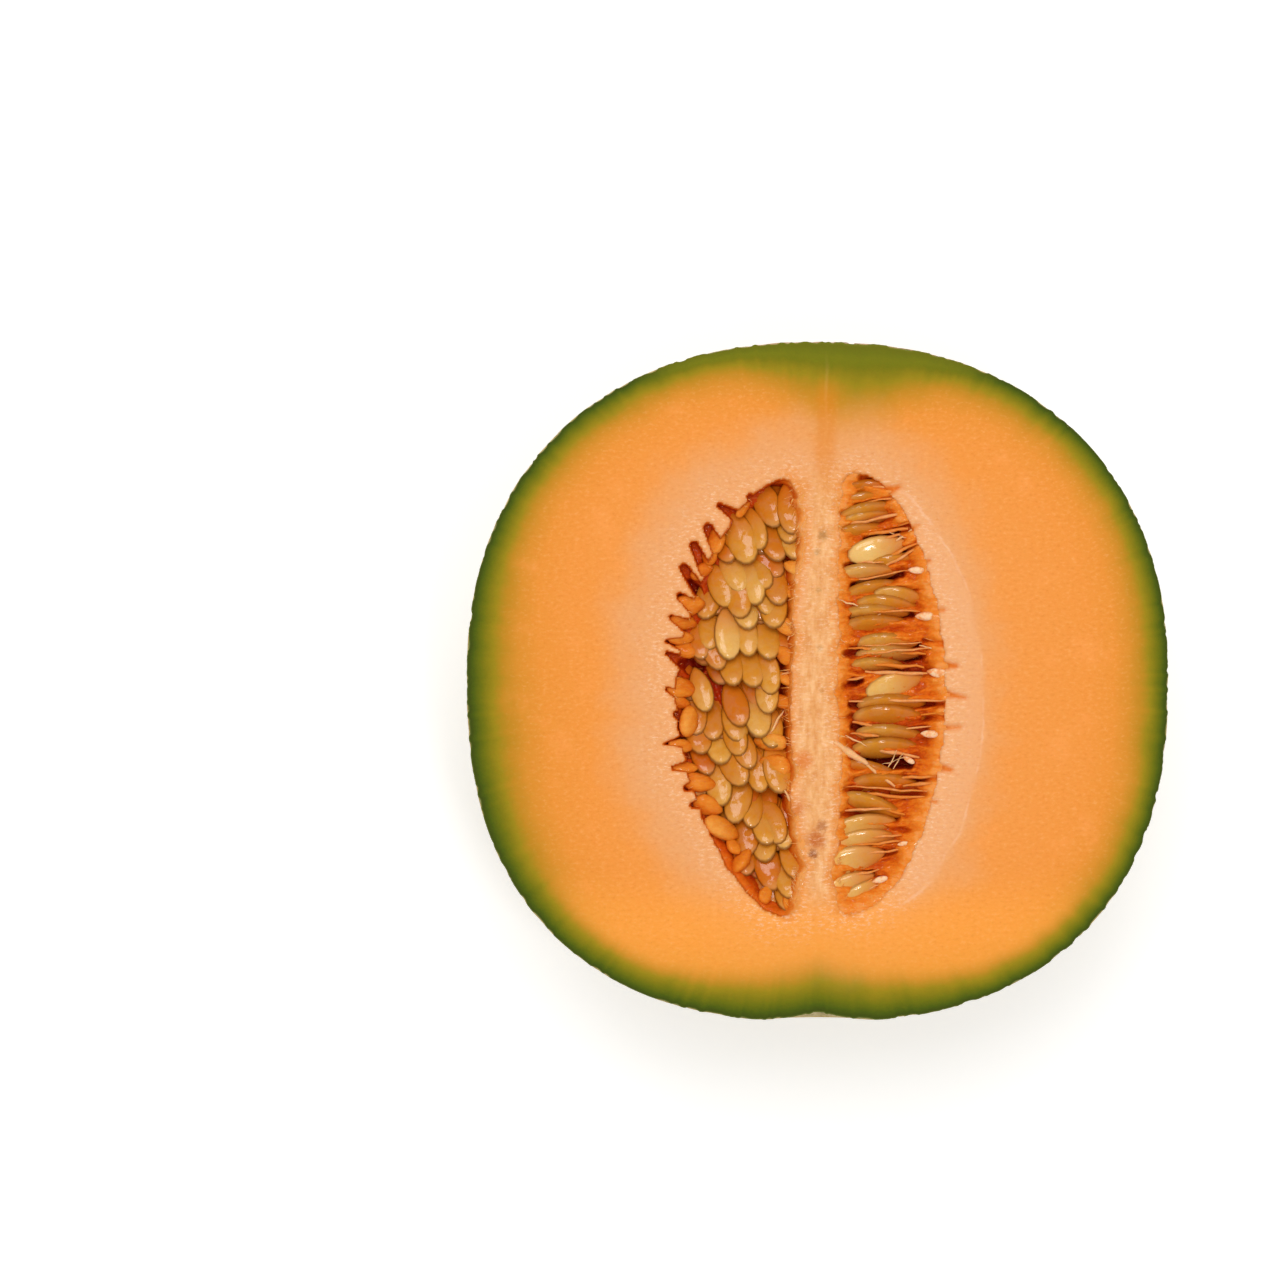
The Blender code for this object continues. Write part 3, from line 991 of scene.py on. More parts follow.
@dataclass
class Rind:
    """The skin and its net, from the cut's edge round the back to the spot that it rests on."""

    per_side: int = 312
    rest_blend: float = 1.0 * MM
    net_scale: float = NET.relief * MM
    edge_net: float = 0.4
    edge_blend: float = 3.5 * MM
    edge: np.ndarray | None = None

    def tree(self, finish: bpy.types.Material) -> GeometryTree:
        """The rule of the rind's shape: half a ball out of a box, with the net's relief.

        Args:
            finish: The rind's finish.

        Returns:
            The tree.
        """
        shape = GeometryTree("rind_shape", {
            "Faces To A Side": self.per_side,
            "Radius": FORM.radius,
            "Blossom Reach": FORM.blossom_reach,
            "Blossom Squareness": FORM.blossom_squareness,
            "Stem Reach": FORM.stem_reach,
            "Stem Squareness": FORM.stem_squareness,
            "Dish Radius": FORM.dish_radius,
            "Dish Depth": FORM.dish_depth,
            "Net Height": self.net_scale,
            "Edge Blend": self.edge_blend,
            "Centre": tuple(FORM.centre),
            "Finish": finish,
        })
        maker, given = shape.maker, shape.given
        count = given("Faces To A Side")
        box = maker.out("GeometryNodeMeshCube", None, {
            "Size": (2, 2, 1), "Vertices X": count + 1, "Vertices Y": count + 1, "Vertices Z": count / 2 + 1,
        })
        _, _, up = maker.split(maker.out("GeometryNodeInputNormal"))
        lid = {"Geometry": box, "Selection": up > 0.5}
        open_box = maker.out("GeometryNodeDeleteGeometry", {"domain": "FACE"}, lid)
        x, y, z = maker.split(maker.out("GeometryNodeInputPosition"))
        quarter = math.pi / 4
        spread = maker.join(*(maker.math("TANGENT", part * quarter) for part in (x, y, z - 0.5)))
        direction = maker.vector("NORMALIZE", spread)
        dx, dy, dz = maker.split(direction)
        blossom = dy > 0.0
        squareness, reach = (
            given(f"Stem {size}") + (given(f"Blossom {size}") - given(f"Stem {size}")) * blossom
            for size in ("Squareness", "Reach")
        )
        across = maker.math("SQRT", dx * dx + dz * dz)
        total = (across / given("Radius")) ** squareness + (abs(dy) / reach) ** squareness
        distance = total ** (-1.0 / squareness)
        from_axis = distance * across / given("Dish Radius")
        dish = maker.math("EXPONENT", 0.0 - from_axis * from_axis) * given("Dish Depth") * (1.0 - blossom)
        crest = maker.vector("ADD", given("Centre"), maker.vector("SCALE", direction, distance - dish))
        cx, cy, cz = maker.split(crest)
        rested = maker.join(cx, cy, maker.math("SMOOTH_MAX", cz, 0.0, self.rest_blend))
        height, _ = NET.field(maker, direction, FORM.radius / MM)
        below = maker.math("MAXIMUM", CUT_Z - cz, 0.0) / given("Edge Blend")
        full = self.edge_net + (1 - self.edge_net) * maker.smooth(below, 0.0, 1.0)
        sunk = maker.vector("SCALE", direction, given("Net Height") * (1.0 - height) * full)
        placed = maker.vector("SUBTRACT", rested, sunk)
        shape.finish(maker.out("GeometryNodeSetPosition", None, {"Geometry": open_box, "Position": placed}))
        return shape

    def build(self) -> list[bpy.types.Object]:
        """Makes the rind in five patches, so that each stays small enough.

        Returns:
            The patches. Their shared edges keep the whole rind's normals, so no seam shows.
        """
        finish = RindFinish().make()
        host = link(bpy.data.objects.new("rind_host", bpy.data.meshes.new("rind_host")))
        whole = self.tree(finish).run(host, "rind_whole")
        points = read(whole.data.vertices, "co", 3)
        normals = read(whole.data.vertex_normals, "vector", 3)
        faces = read(whole.data.polygons, "vertices", 4, int)
        self.edge = points[np.abs(points[:, 2] - CUT_Z) < 0.01 * MM]
        middles = points[faces].mean(axis=1) - np.array(FORM.centre)
        side = np.abs(middles).argmax(axis=1)
        names = {
            "rind_under": side == 2,
            "rind_left": (side == 0) & (middles[:, 0] < 0),
            "rind_right": (side == 0) & (middles[:, 0] > 0),
            "rind_stem": (side == 1) & (middles[:, 1] < 0),
            "rind_blossom": (side == 1) & (middles[:, 1] > 0),
        }
        patches = []
        for name, chosen in names.items():
            used, local = np.unique(faces[chosen], return_inverse=True)
            patch = mesh_object(name, points[used], local.reshape(-1, 4))
            patch.data.materials.append(finish)
            patch.data.normals_split_custom_set_from_vertices([tuple(n) for n in normals[used]])
            patches.append(settle(patch, Slot.RIND, "flesh_and_rind"))
        bpy.data.objects.remove(whole)
        return patches


@dataclass(frozen=True)
class Notch:
    """A gap between two teeth of a pocket's outer wall: its tip and its root, as picture x and y."""

    tip: Pixel
    root: Pixel
    tip_width: float = 1.3 * MM
    root_width: float = 3.2 * MM
    roundness: float = 1.35

    def distance(self, points: np.ndarray) -> np.ndarray:
        """Distance from the notch's edge.

        Args:
            points: Flat points.

        Returns:
            Their distances, less than 0 inside it.
        """
        along, off = along_segment(points, pixel_place(*self.root), pixel_place(*self.tip))
        tip_width = self.tip_width * self.roundness
        return off - (self.root_width + (tip_width - self.root_width) * along ** 0.8) / 2


@dataclass(frozen=True)
class Slit:
    """A dark gap in the pulp: its two ends as picture x and y, its width and its depth."""

    start: Pixel
    end: Pixel
    width: float = 1.0 * MM
    depth: float = 2.5 * MM


@dataclass(frozen=True)
class Lobe:
    """A seed pocket's outline in the cut face, in metres from the middle of the half."""

    name: str
    side: int
    middle_x: float
    middle_y: float
    half_length: float
    outer: float
    inner: float
    outer_squareness: float
    inner_squareness: float
    notches: tuple[Notch, ...] = ()
    grooves: tuple[Notch, ...] = ()
    septum: tuple[Pixel, ...] = ()
    waver: float = 0.3 * MM
    waves: tuple[tuple[float, float, float], ...] = ((9.3, 0.6, 0.9), (4.9, 2.0, 0.8), (2.7, 4.1, 0.45))

    def outline(self, count: int = 240) -> np.ndarray:
        """The outline without its notches.

        Args:
            count: How many points to make.

        Returns:
            A closed ring of flat points.
        """
        turn = np.linspace(-math.pi, math.pi, count, endpoint=False)
        c, s = np.cos(turn), np.sin(turn)
        out = c > 0
        width = np.where(out, self.outer, self.inner)
        power = 2 / np.where(out, self.outer_squareness, self.inner_squareness)
        x = np.sign(c) * width * np.abs(c) ** power * self.side
        y = np.sign(s) * self.half_length * np.abs(s) ** power
        return np.stack([x + self.middle_x, y + self.middle_y], axis=1)

    def share(self, x: np.ndarray, y: np.ndarray) -> np.ndarray:
        """How far out a place is.

        Args:
            x: Its x.
            y: Its y.

        Returns:
            0 in the lobe's middle, 1 on its outline.
        """
        dx, dy = (x - self.middle_x) * self.side, y - self.middle_y
        out = dx > 0
        width = np.where(out, self.outer, self.inner)
        power = np.where(out, self.outer_squareness, self.inner_squareness)
        return ((np.abs(dx) / width) ** power + (np.abs(dy) / self.half_length) ** power) ** (1 / power)

    def outward(self, points: np.ndarray) -> np.ndarray:
        """1 toward the outer wall, 0 toward the septum."""
        return smoothstep(-0.9, 0.3, (points[:, 0] - self.middle_x) * self.side / self.inner)

    def low_end(self, points: np.ndarray) -> np.ndarray:
        """1 at the pocket's stem end, 0 in its middle."""
        return smoothstep(0.35, 0.85, (self.middle_y - points[:, 1]) / self.half_length)

    def ring_distance(self, points: np.ndarray) -> np.ndarray:
        """Distance from the even outline.

        Args:
            points: Flat points.

        Returns:
            Their distances, less than 0 inside it.
        """
        ring = self.outline()
        apart = to_segments(points, ring, np.roll(ring, -1, axis=0))
        return np.where(self.share(points[:, 0], points[:, 1]) < 1, -apart, apart)

    def plain_distance(self, points: np.ndarray) -> np.ndarray:
        """Distance from the uneven outline without its notches, drawn to the septum's edge.

        Args:
            points: Flat points.

        Returns:
            Their distances, less than 0 inside it.
        """
        apart = self.ring_distance(points)
        inner = 1 - self.outward(points)
        y = points[:, 1]
        edge = np.array([pixel_place(*place) for place in self.septum[::-1]])
        bulge = -np.interp(y, edge[:, 1], self.ring_distance(edge))
        ripples = sum(
            np.sin(2 * math.pi * y / (length * MM) + phase * self.side) * strength
            for length, phase, strength in self.waves
        )
        return apart + (bulge + ripples * self.waver) * inner + ripples * self.waver * 0.5 * (1 - inner)

    def distance(self, points: np.ndarray) -> np.ndarray:
        """Distance of flat points from the notched outline, less than 0 inside it."""
        gaps = [notch.distance(points) for notch in self.notches]
        return np.minimum.reduce([self.plain_distance(points), *gaps])


def pixel_place(px: float, py: float) -> np.ndarray:
    """A picture place as a flat point."""
    return np.array([PICTURE.x(px), PICTURE.y(py)])


def along_segment(points: np.ndarray, start: np.ndarray, end: np.ndarray) -> tuple[np.ndarray, np.ndarray]:
    """Where points lie beside a segment.

    Args:
        points: Flat points.
        start: The segment's start.
        end: Its end.

    Returns:
        How far along it each point's nearest place is, 0 to 1, and the point's distance from that.
    """
    run = end - start
    along = np.clip((points - start) @ run / (run @ run), 0, 1)
    return along, np.linalg.norm(points - start - along[:, None] * run, axis=1)


def to_segments(points: np.ndarray, starts: np.ndarray, ends: np.ndarray) -> np.ndarray:
    """Distance from the nearest of many segments.

    Args:
        points: Flat points.
        starts: The segments' starts.
        ends: Their ends.

    Returns:
        Each point's distance.
    """
    nearest = np.full(len(points), np.inf)
    for start, end in zip(starts, ends):
        nearest = np.minimum(nearest, along_segment(points, start, end)[1])
    return nearest


def marks(kind: type, *rows: tuple[float, ...]) -> tuple[Any, ...]:
    """Makes marks on the picture from rows of numbers.

    Args:
        kind: Notch or Slit.
        *rows: The picture x and y of both ends, then the kind's sizes in millimetres.

    Returns:
        The marks.
    """
    return tuple(kind(row[:2], row[2:4], *(size * MM for size in row[4:])) for row in rows)


LEFT = Lobe(
    name="left", side=-1, middle_x=PICTURE.x(778), middle_y=PICTURE.y(697), half_length=45.6 * MM,
    outer=21.6 * MM, inner=5.0 * MM, outer_squareness=1.6, inner_squareness=3.2,
    notches=marks(
        Notch,
        (750, 497, 766, 508), (719, 505, 738, 517, 0.9), (708, 528, 718, 548, 1.7),
        (694, 545, 706, 570, 1.5), (684, 568, 699, 590, 1.6), (680, 596, 693, 606),
        (671, 617, 686, 625, 0.9), (667, 641, 682, 644, 0.8), (667, 653, 686, 664, 0.8, 4.0),
        (667, 689, 684, 697, 0.8), (676, 714, 686, 720, 1.2), (665, 744, 684, 741, 0.6),
        (673, 768, 690, 766, 0.8), (687, 788, 700, 783), (693, 805, 708, 803, 1.2),
        (713, 834, 727, 829, 1.2), (729, 858, 741, 850, 1.0),
    ),
    septum=(
        (801, 499), (806, 540), (801, 564), (796, 587), (793, 609), (797, 640), (792, 670), (790, 690),
        (788, 740), (798, 768), (788, 794), (796, 825), (803, 850), (806, 866), (801, 887),
    ),
)
RIGHT = Lobe(
    name="right", side=1, middle_x=PICTURE.x(858), middle_y=PICTURE.y(692), half_length=45.8 * MM,
    outer=18.4 * MM, inner=5.2 * MM, outer_squareness=1.85, inner_squareness=3.4,
    grooves=marks(
        Notch,
        (899, 487, 885, 492, 0.9), (919, 525, 900, 534, 0.6, 2.4), (930, 560, 908, 571, 0.8, 2.0),
        (944, 610, 915, 612, 0.8, 2.6), (956, 666, 920, 664, 1.0, 4.4), (965, 698, 930, 690, 0.7, 3.0),
        (961, 727, 925, 729, 0.6, 2.6), (951, 770, 915, 762, 1.0, 4.0), (936, 802, 905, 793, 0.8, 2.6),
        (915, 838, 888, 830, 0.8, 2.2),
    ),
    septum=(
        (840, 490), (838, 530), (838, 560), (836, 600), (838, 640), (834, 690),
        (838, 730), (842, 760), (838, 800), (836, 840), (830, 870), (832, 892),
    ),
)

# Dark gaps in the pulp. Those of the right pocket part its seeds; those of the left one open beside its wall
LEFT_SLITS = marks(
    Slit,
    (683, 664, 700, 668, 3.4, 3.0), (690, 583, 700, 600, 2.6, 4.0), (774, 717, 779, 716, 1.9, 5.0),
    (690, 754, 693, 756, 1.6, 4.0), (696, 779, 703, 777, 2.2, 3.5), (770, 488, 795, 494, 2.6, 3.5),
    (722, 655, 765, 662, 2.0, 3.0), (764, 792, 780, 798, 2.0, 3.0), (676, 745, 685, 741, 1.4, 3.5),
    (705, 550, 712, 566, 1.6, 3.0),
)
RIGHT_SLITS = marks(
    Slit,
    (862, 478, 895, 485, 1.7, 3.0), (843, 513, 890, 498, 0.6, 2.5), (845, 529, 893, 516, 0.6, 2.5),
    (867, 539, 897, 531, 0.9, 3.5), (897, 531, 918, 523, 1.2, 3.5), (846, 566, 881, 566, 0.8, 3.0),
    (881, 566, 922, 540, 0.6, 2.5), (854, 586, 902, 574, 1.3, 4.5), (854, 618, 912, 615, 1.3, 5.0),
    (863, 650, 918, 645, 0.6, 2.5), (846, 654, 862, 652, 1.2, 3.5), (898, 658, 921, 658, 1.2, 5.0),
    (866, 668, 919, 670, 0.9, 3.0), (846, 686, 860, 681, 1.3, 3.5), (851, 705, 943, 704, 0.9, 4.0),
    (854, 727, 868, 732, 1.5, 4.0), (868, 738, 925, 729, 0.7, 3.0), (867, 757, 909, 764, 2.6, 6.0),
    (846, 790, 925, 795, 0.7, 2.5), (851, 802, 897, 819, 0.9, 4.0), (842, 815, 880, 812, 0.9, 3.0),
    (842, 843, 890, 838, 0.7, 2.5), (836, 862, 894, 851, 0.7, 2.5), (834, 885, 872, 873, 0.7, 2.5),
    (854, 894, 869, 882, 0.6, 2.5), (925, 640, 950, 646, 0.5, 2.0), (925, 718, 955, 716, 0.5, 2.0),
    (905, 782, 938, 778, 0.6, 2.0),
)


@dataclass
class Flesh:
    """The cut face with the walls of its two seed pockets, out to the rind."""

    lines: int = 300
    crowd_across: float = 0.75
    crowd_along: float = 0.35
    outer_wall: float = 1.1 * MM
    inner_wall: float = 4.2 * MM
    pocket_depth: float = 9.0 * MM
    groove_depth: float = 0.8 * MM
    groove_edge: tuple[float, float] = (-1.2 * MM, 0.8 * MM)
    lip_depth: float = 0.3 * MM
    lip_reach: float = 0.9 * MM
    septum_tint_and_shade: float = 0.45
    end_tint_and_shade: float = 0.8
    green_layer: tuple[tuple[float, float, float], ...] = (
        (84, 13, 1.2), (270, 24, 0.75), (190, 33, 0.58), (0, 25, 0.13),
    )
    thinnest_green: float = 0.8

    def build(self, edge: np.ndarray) -> bpy.types.Object:
        """Makes the face.

        Args:
            edge: The points of the rind's upper edge, which the face meets.

        Returns:
            The piece.
        """
        flat, out, rim_reach = self.grid(edge)
        wall = np.full(len(flat), np.inf)
        depth = np.zeros(len(flat))
        side = np.ones(len(flat))
        for lobe in (LEFT, RIGHT):
            apart = lobe.distance(flat)
            outward = lobe.outward(flat)
            # How much of the walls' redness and painted shade each place gets: less on the septum's side and
            # at the stem end.
            side = np.where(apart < 0, outward * (1 - self.end_tint_and_shade * lobe.low_end(flat)), side)
            steep = (1 - smoothstep(-1, 0, apart / self.outer_wall)) ** 0.8
            gentle = np.clip(-apart / self.inner_wall, 0, 1) ** 1.4
            depth += self.pocket_depth * (steep * outward + gentle * (1 - outward))
            for groove in lobe.grooves:
                cut = 1 - smoothstep(*self.groove_edge, groove.distance(flat))
                depth = np.maximum(depth, self.groove_depth * cut)
            wall = np.minimum(wall, apart)
        lip = self.lip_depth * np.exp(-np.maximum(wall, 0) / self.lip_reach) * (depth < 0.01 * MM)
        points = np.column_stack([flat, CUT_Z - depth - lip])
        face = mesh_object("flesh", points, grid_faces(self.lines, self.lines))
        carry(face.data, "rim", self.layering(flat, (1 - out) * rim_reach) / MM)
        carry(face.data, "wall", wall / MM)
        # The depth that reddens the walls and paints shade on them.
        tinted_and_shaded = depth * (self.septum_tint_and_shade + (1 - self.septum_tint_and_shade) * side)
        carry(face.data, "depth", (tinted_and_shaded + lip) / MM)
        face.data.materials.append(FleshFinish().make())
        return settle(face, Slot.FLESH, "flesh_and_rind")

    def grid(self, edge: np.ndarray) -> tuple[np.ndarray, np.ndarray, np.ndarray]:
        """A square grid drawn out to the rind's edge, with its lines closer together near the pockets.

        Args:
            edge: The points of the rind's upper edge.

        Returns:
            The flat points, how far out each one is from 0 to 1, and how far the rind is its way.
        """
        even = np.linspace(-1, 1, self.lines + 1)
        u = even * (1 + self.crowd_across * even ** 2) / (1 + self.crowd_across)
        v = even * (1 + self.crowd_along * even ** 2) / (1 + self.crowd_along)
        u, v = np.meshgrid(u, v, indexing="xy")
        x, y = (u * np.sqrt(1 - v * v / 2)).ravel(), (v * np.sqrt(1 - u * u / 2)).ravel()
        out = np.hypot(x, y)
        turn = np.arctan2(y, x)
        centre = np.array(FORM.centre)[:2]
        from_centre = edge[:, :2] - centre
        edge_turn = np.arctan2(from_centre[:, 1], from_centre[:, 0])
        order = np.argsort(edge_turn)
        reach = np.interp(turn, edge_turn[order], np.hypot(*from_centre.T)[order], period=2 * math.pi)
        flat = np.column_stack([np.cos(turn), np.sin(turn)]) * (out * reach)[:, None] + centre
        return flat, out, reach

    def layering(self, flat: np.ndarray, from_rim: np.ndarray) -> np.ndarray:
        """Distance from the rind for the layers' colours.

        Args:
            flat: Flat points.
            from_rim: Their distances from the rind.

        Returns:
            The distances, made less where the green layer is thick.
        """
        turn = np.degrees(np.arctan2(flat[:, 1], flat[:, 0]))
        thickness = np.full(len(flat), self.thinnest_green)
        for heading, spread, more in self.green_layer:
            off = (turn - heading + 180) % 360 - 180
            thickness += more * np.exp(-(off / spread) ** 2)
        return from_rim / thickness


def smoothstep(low: float, high: float, value: np.ndarray) -> np.ndarray:
    """Rises smoothly from 0 at low to 1 at high."""
    share = np.clip((value - low) / (high - low), 0, 1)
    return share * share * (3 - 2 * share)


def grid_faces(columns: int, rows: int) -> np.ndarray:
    """The faces of a grid of points that runs row by row, as four point numbers each."""
    first = (np.arange(rows)[:, None] * (columns + 1) + np.arange(columns)[None, :]).ravel()
    return np.column_stack([first, first + 1, first + columns + 2, first + columns + 1])


@dataclass
class PulpBed:
    """The soft pulp of a pocket: a surface in folds, with its dark gaps, that ends inside the wall."""

    lobe: Lobe
    slits: tuple[Slit, ...]
    middle_depth: float
    outer_depth: float
    inner_depth: float
    fold_length: tuple[float, float, float]
    fold_height: float
    knob_height: float
    gap_edge: float
    end_rise: float = 0.0
    tuck: float = 0.7 * MM
    step: float = 0.26 * MM
    inner_margin: float = 1.0 * MM
    outer_margin: float = 4.0 * MM
    end_margin: float = 1.2 * MM
    gap_share: float = 0.75
    wall_reach: tuple[float, float] = (-4.5 * MM, -0.3 * MM)
    wall_hold: float = 0.75

    def flat_points(self) -> tuple[np.ndarray, np.ndarray]:
        """The grid over the lobe.

        Returns:
            Its flat points and its faces.
        """
        lobe = self.lobe
        low, high = sorted((
            lobe.middle_x - lobe.side * (lobe.inner + self.inner_margin),
            lobe.middle_x + lobe.side * (lobe.outer + self.outer_margin),
        ))
        columns = round((high - low) / self.step)
        reach = lobe.half_length + self.end_margin
        rows = round(2 * reach / self.step)
        x = np.linspace(low, high, columns + 1)
        y = np.linspace(lobe.middle_y - reach, lobe.middle_y + reach, rows + 1)
        x, y = np.meshgrid(x, y, indexing="xy")
        flat = np.column_stack([x.ravel(), y.ravel()])
        faces = grid_faces(columns, rows)
        faces = faces[lobe.distance(flat[faces].mean(axis=1)) < self.tuck]
        used, local = np.unique(faces, return_inverse=True)
        return flat[used], local.reshape(-1, 4)

    def depths(self, flat: np.ndarray, near_wall: np.ndarray) -> np.ndarray:
        """How deep the pulp lies, without its small folds.

        Args:
            flat: Flat points.
            near_wall: 1 at the wall, 0 away from it, for each.

        Returns:
            Their depths under the cut.
        """
        outer_depth = self.outer_depth - self.end_rise * self.lobe.low_end(flat)
        wall_depth = self.inner_depth + (outer_depth - self.inner_depth) * self.lobe.outward(flat)
        depth = self.middle_depth + (wall_depth - self.middle_depth) * near_wall
        for slit in self.slits:
            along, off = along_segment(flat, pixel_place(*slit.start), pixel_place(*slit.end))
            taper = 0.35 + 0.65 * np.sin(math.pi * np.clip(along, 0.06, 0.94))
            gap = 1 - smoothstep(-0.5, 1, (off - slit.width / 2 * taper) / self.gap_edge)
            depth = depth + slit.depth * gap * self.gap_share
        return depth

    def build(self, finish: bpy.types.Material) -> bpy.types.Object:
        """Makes the bed. Geometry Nodes adds the small folds.

        Args:
            finish: The pulp's finish.

        Returns:
            The piece.
        """
        flat, faces = self.flat_points()
        near_wall = smoothstep(*self.wall_reach, self.lobe.distance(flat))
        points = np.column_stack([flat, CUT_Z - self.depths(flat, near_wall)])
        host = mesh_object(f"pulp_{self.lobe.name}_host", points, faces)
        carry(host.data, "free", 1 - self.wall_hold * near_wall)
        folds = GeometryTree(f"pulp_{self.lobe.name}_folds", {
            "Fold Height": self.fold_height,
            "Knob Height": self.knob_height,
            "Fold Length": self.fold_length,
            "Finish": finish,
        })
        maker, given = folds.maker, folds.given
        place = folds.place()
        bend = maker.vector("SCALE", maker.noise(place, 0.15, 2, 0.5, 1), 4.0)
        flow = maker.vector("ADD", place, bend)
        long = maker.noise(maker.vector("MULTIPLY", flow, given("Fold Length")), 1.0, 3, 0.6)
        knobs = maker.noise(place, 0.55, 4, 0.6)
        lift = (long - 0.5) * given("Fold Height") + (knobs - 0.5) * given("Knob Height")
        lift = lift * folds.carried("free")
        folds.finish(folds.moved(given("Geometry"), maker.join(0.0, 0.0, lift)))
        return settle(folds.run(host, f"pulp_{self.lobe.name}"), Slot.PULP, f"pulp_{self.lobe.name}")


@dataclass(frozen=True)
class Lie:
    """How one copy lies: its middle in metres, its turns in degrees, its sizes and its tint of 0 to 1."""

    x: float
    y: float
    z: float
    heading: float
    pitch: float
    roll: float
    size: tuple[float, float, float]
    tint: float

    def turn(self) -> Euler:
        """The rotation: roll first, then pitch, then heading.

        Returns:
            The rotation as an Euler angle.
        """
        matrix = Matrix.Rotation(math.radians(self.heading), 3, "Z")
        matrix = matrix @ Matrix.Rotation(math.radians(-self.pitch), 3, "Y")
        return (matrix @ Matrix.Rotation(math.radians(self.roll), 3, "X")).to_euler()


class Scatter:
    """Copies of one small shape, each laid by a Lie."""

    size_spread: float = 0.05

    def __init__(
        self, name: str, shape: bpy.types.Object, finish: bpy.types.Material, seed: int, ruffle: float = 0.0
    ) -> None:
        """Makes the tree that lays the copies.

        Args:
            name: The name of the piece that comes out.
            shape: The small shape. It is removed once the copies are made.
            finish: Their finish.
            seed: The seed of the small differences between the copies.
            ruffle: How far the copies are pulled out of shape, in metres.
        """
        self.name = name
        self.shape = shape
        self.tree = GeometryTree(f"{name}_scatter", {
            "Shape": shape,
            "Size Spread": self.size_spread,
            "Ruffle": ruffle,
            "Seed": seed,
            "Finish": finish,
        })
        maker, given = self.tree.maker, self.tree.given
        copy = maker.out("GeometryNodeObjectInfo", None, {"Object": given("Shape")}, "Geometry")
        spread = given("Size Spread")
        swell = maker.node("FunctionNodeRandomValue", {"data_type": "FLOAT"}, {"Seed": given("Seed")})
        maker.tree.links.new((1 - spread).socket, swell.inputs[2])
        maker.tree.links.new((1 + spread).socket, swell.inputs[3])
        carried = self.tree.carried
        size = maker.vector("SCALE", carried("size", "FLOAT_VECTOR"), Wire(maker, swell.outputs[1]))
        turn = maker.out("FunctionNodeEulerToRotation", None, {0: carried("turn", "FLOAT_VECTOR")})
        laid = maker.out("GeometryNodeInstanceOnPoints", None, {
            "Points": given("Geometry"), "Instance": copy, "Rotation": turn, "Scale": size,
        })
        real = maker.out("GeometryNodeRealizeInstances", None, {"Geometry": laid})
        offset = maker.vector("SCALE", maker.drift(self.tree.place(), 0.45), given("Ruffle"))
        self.tree.finish(self.tree.moved(real, offset))

    def build(self, lies: Sequence[Lie]) -> bpy.types.Object:
        """Lays the copies.

        Args:
            lies: How each copy lies.

        Returns:
            All of them, as one piece.
        """
        host = mesh_object(f"{self.name}_points", [(lie.x, lie.y, lie.z) for lie in lies], [])
        carry(host.data, "turn", [tuple(lie.turn()) for lie in lies], "FLOAT_VECTOR")
        carry(host.data, "size", [lie.size for lie in lies], "FLOAT_VECTOR")
        carry(host.data, "tint", [lie.tint for lie in lies])
        piece = self.tree.run(host, self.name)
        bpy.data.objects.remove(self.shape)
        return piece


@dataclass(frozen=True)
class SeedShape:
    """One seed: flat and egg-shaped, round at +X and drawn to a point at -X."""

    length: float = 11.2 * MM
    width: float = 5.4 * MM
    thickness: float = 1.9 * MM
    taper: float = 0.45
    sides: int = 18
    rings: tuple[tuple[float, float], ...] = ((1.0, 0.08), (0.94, 0.24), (0.80, 0.37), (0.52, 0.46))

    def build(self) -> bpy.types.Object:
        """Makes the seed.

        Returns:
            The seed, whose points carry how near they are to its edge and to its ends.
        """
        turn = np.linspace(0, 2 * math.pi, self.sides, endpoint=False)
        cosine, sine = np.cos(turn), np.sin(turn)
        pointed = 1 + self.taper * (1 - cosine) / 2
        x = self.length / 2 * cosine
        y = self.width / 2 * np.sign(sine) * np.abs(sine) ** pointed * (1 + 0.14 * cosine)
        points, edge = [(0.0, 0.0, -0.5 * self.thickness)], [0.0]
        for scale, height in (*((scale, -height) for scale, height in self.rings[::-1]), *self.rings):
            points += [(a * scale, b * scale, height * self.thickness) for a, b in zip(x, y)]
            edge += [scale] * self.sides
        points.append((0.0, 0.0, 0.5 * self.thickness))
        edge.append(0.0)
        seed = mesh_object("seed_shape", points, turned_faces(self.sides, 2 * len(self.rings)))
        carry(seed.data, "edge", edge)
        carry(seed.data, "along", [point[0] / (self.length / 2) for point in points])
        return seed


def turned_faces(sides: int, rings: int) -> list[list[int]]:
    """The faces of a closed shape: a first point, rings of points, and a last point.

    Args:
        sides: How many points a ring has.
        rings: How many rings there are.

    Returns:
        The faces, as lists of point numbers.
    """
    last = 1 + sides * rings
    faces = []
    for k in range(sides):
        after = (k + 1) % sides
        faces.append([0, 1 + after, 1 + k])
        faces.append([last, last - sides + k, last - sides + after])
        for ring in range(rings - 1):
            low, high = 1 + ring * sides, 1 + (ring + 1) * sides
            faces.append([low + k, low + after, high + after, high + k])
    return faces


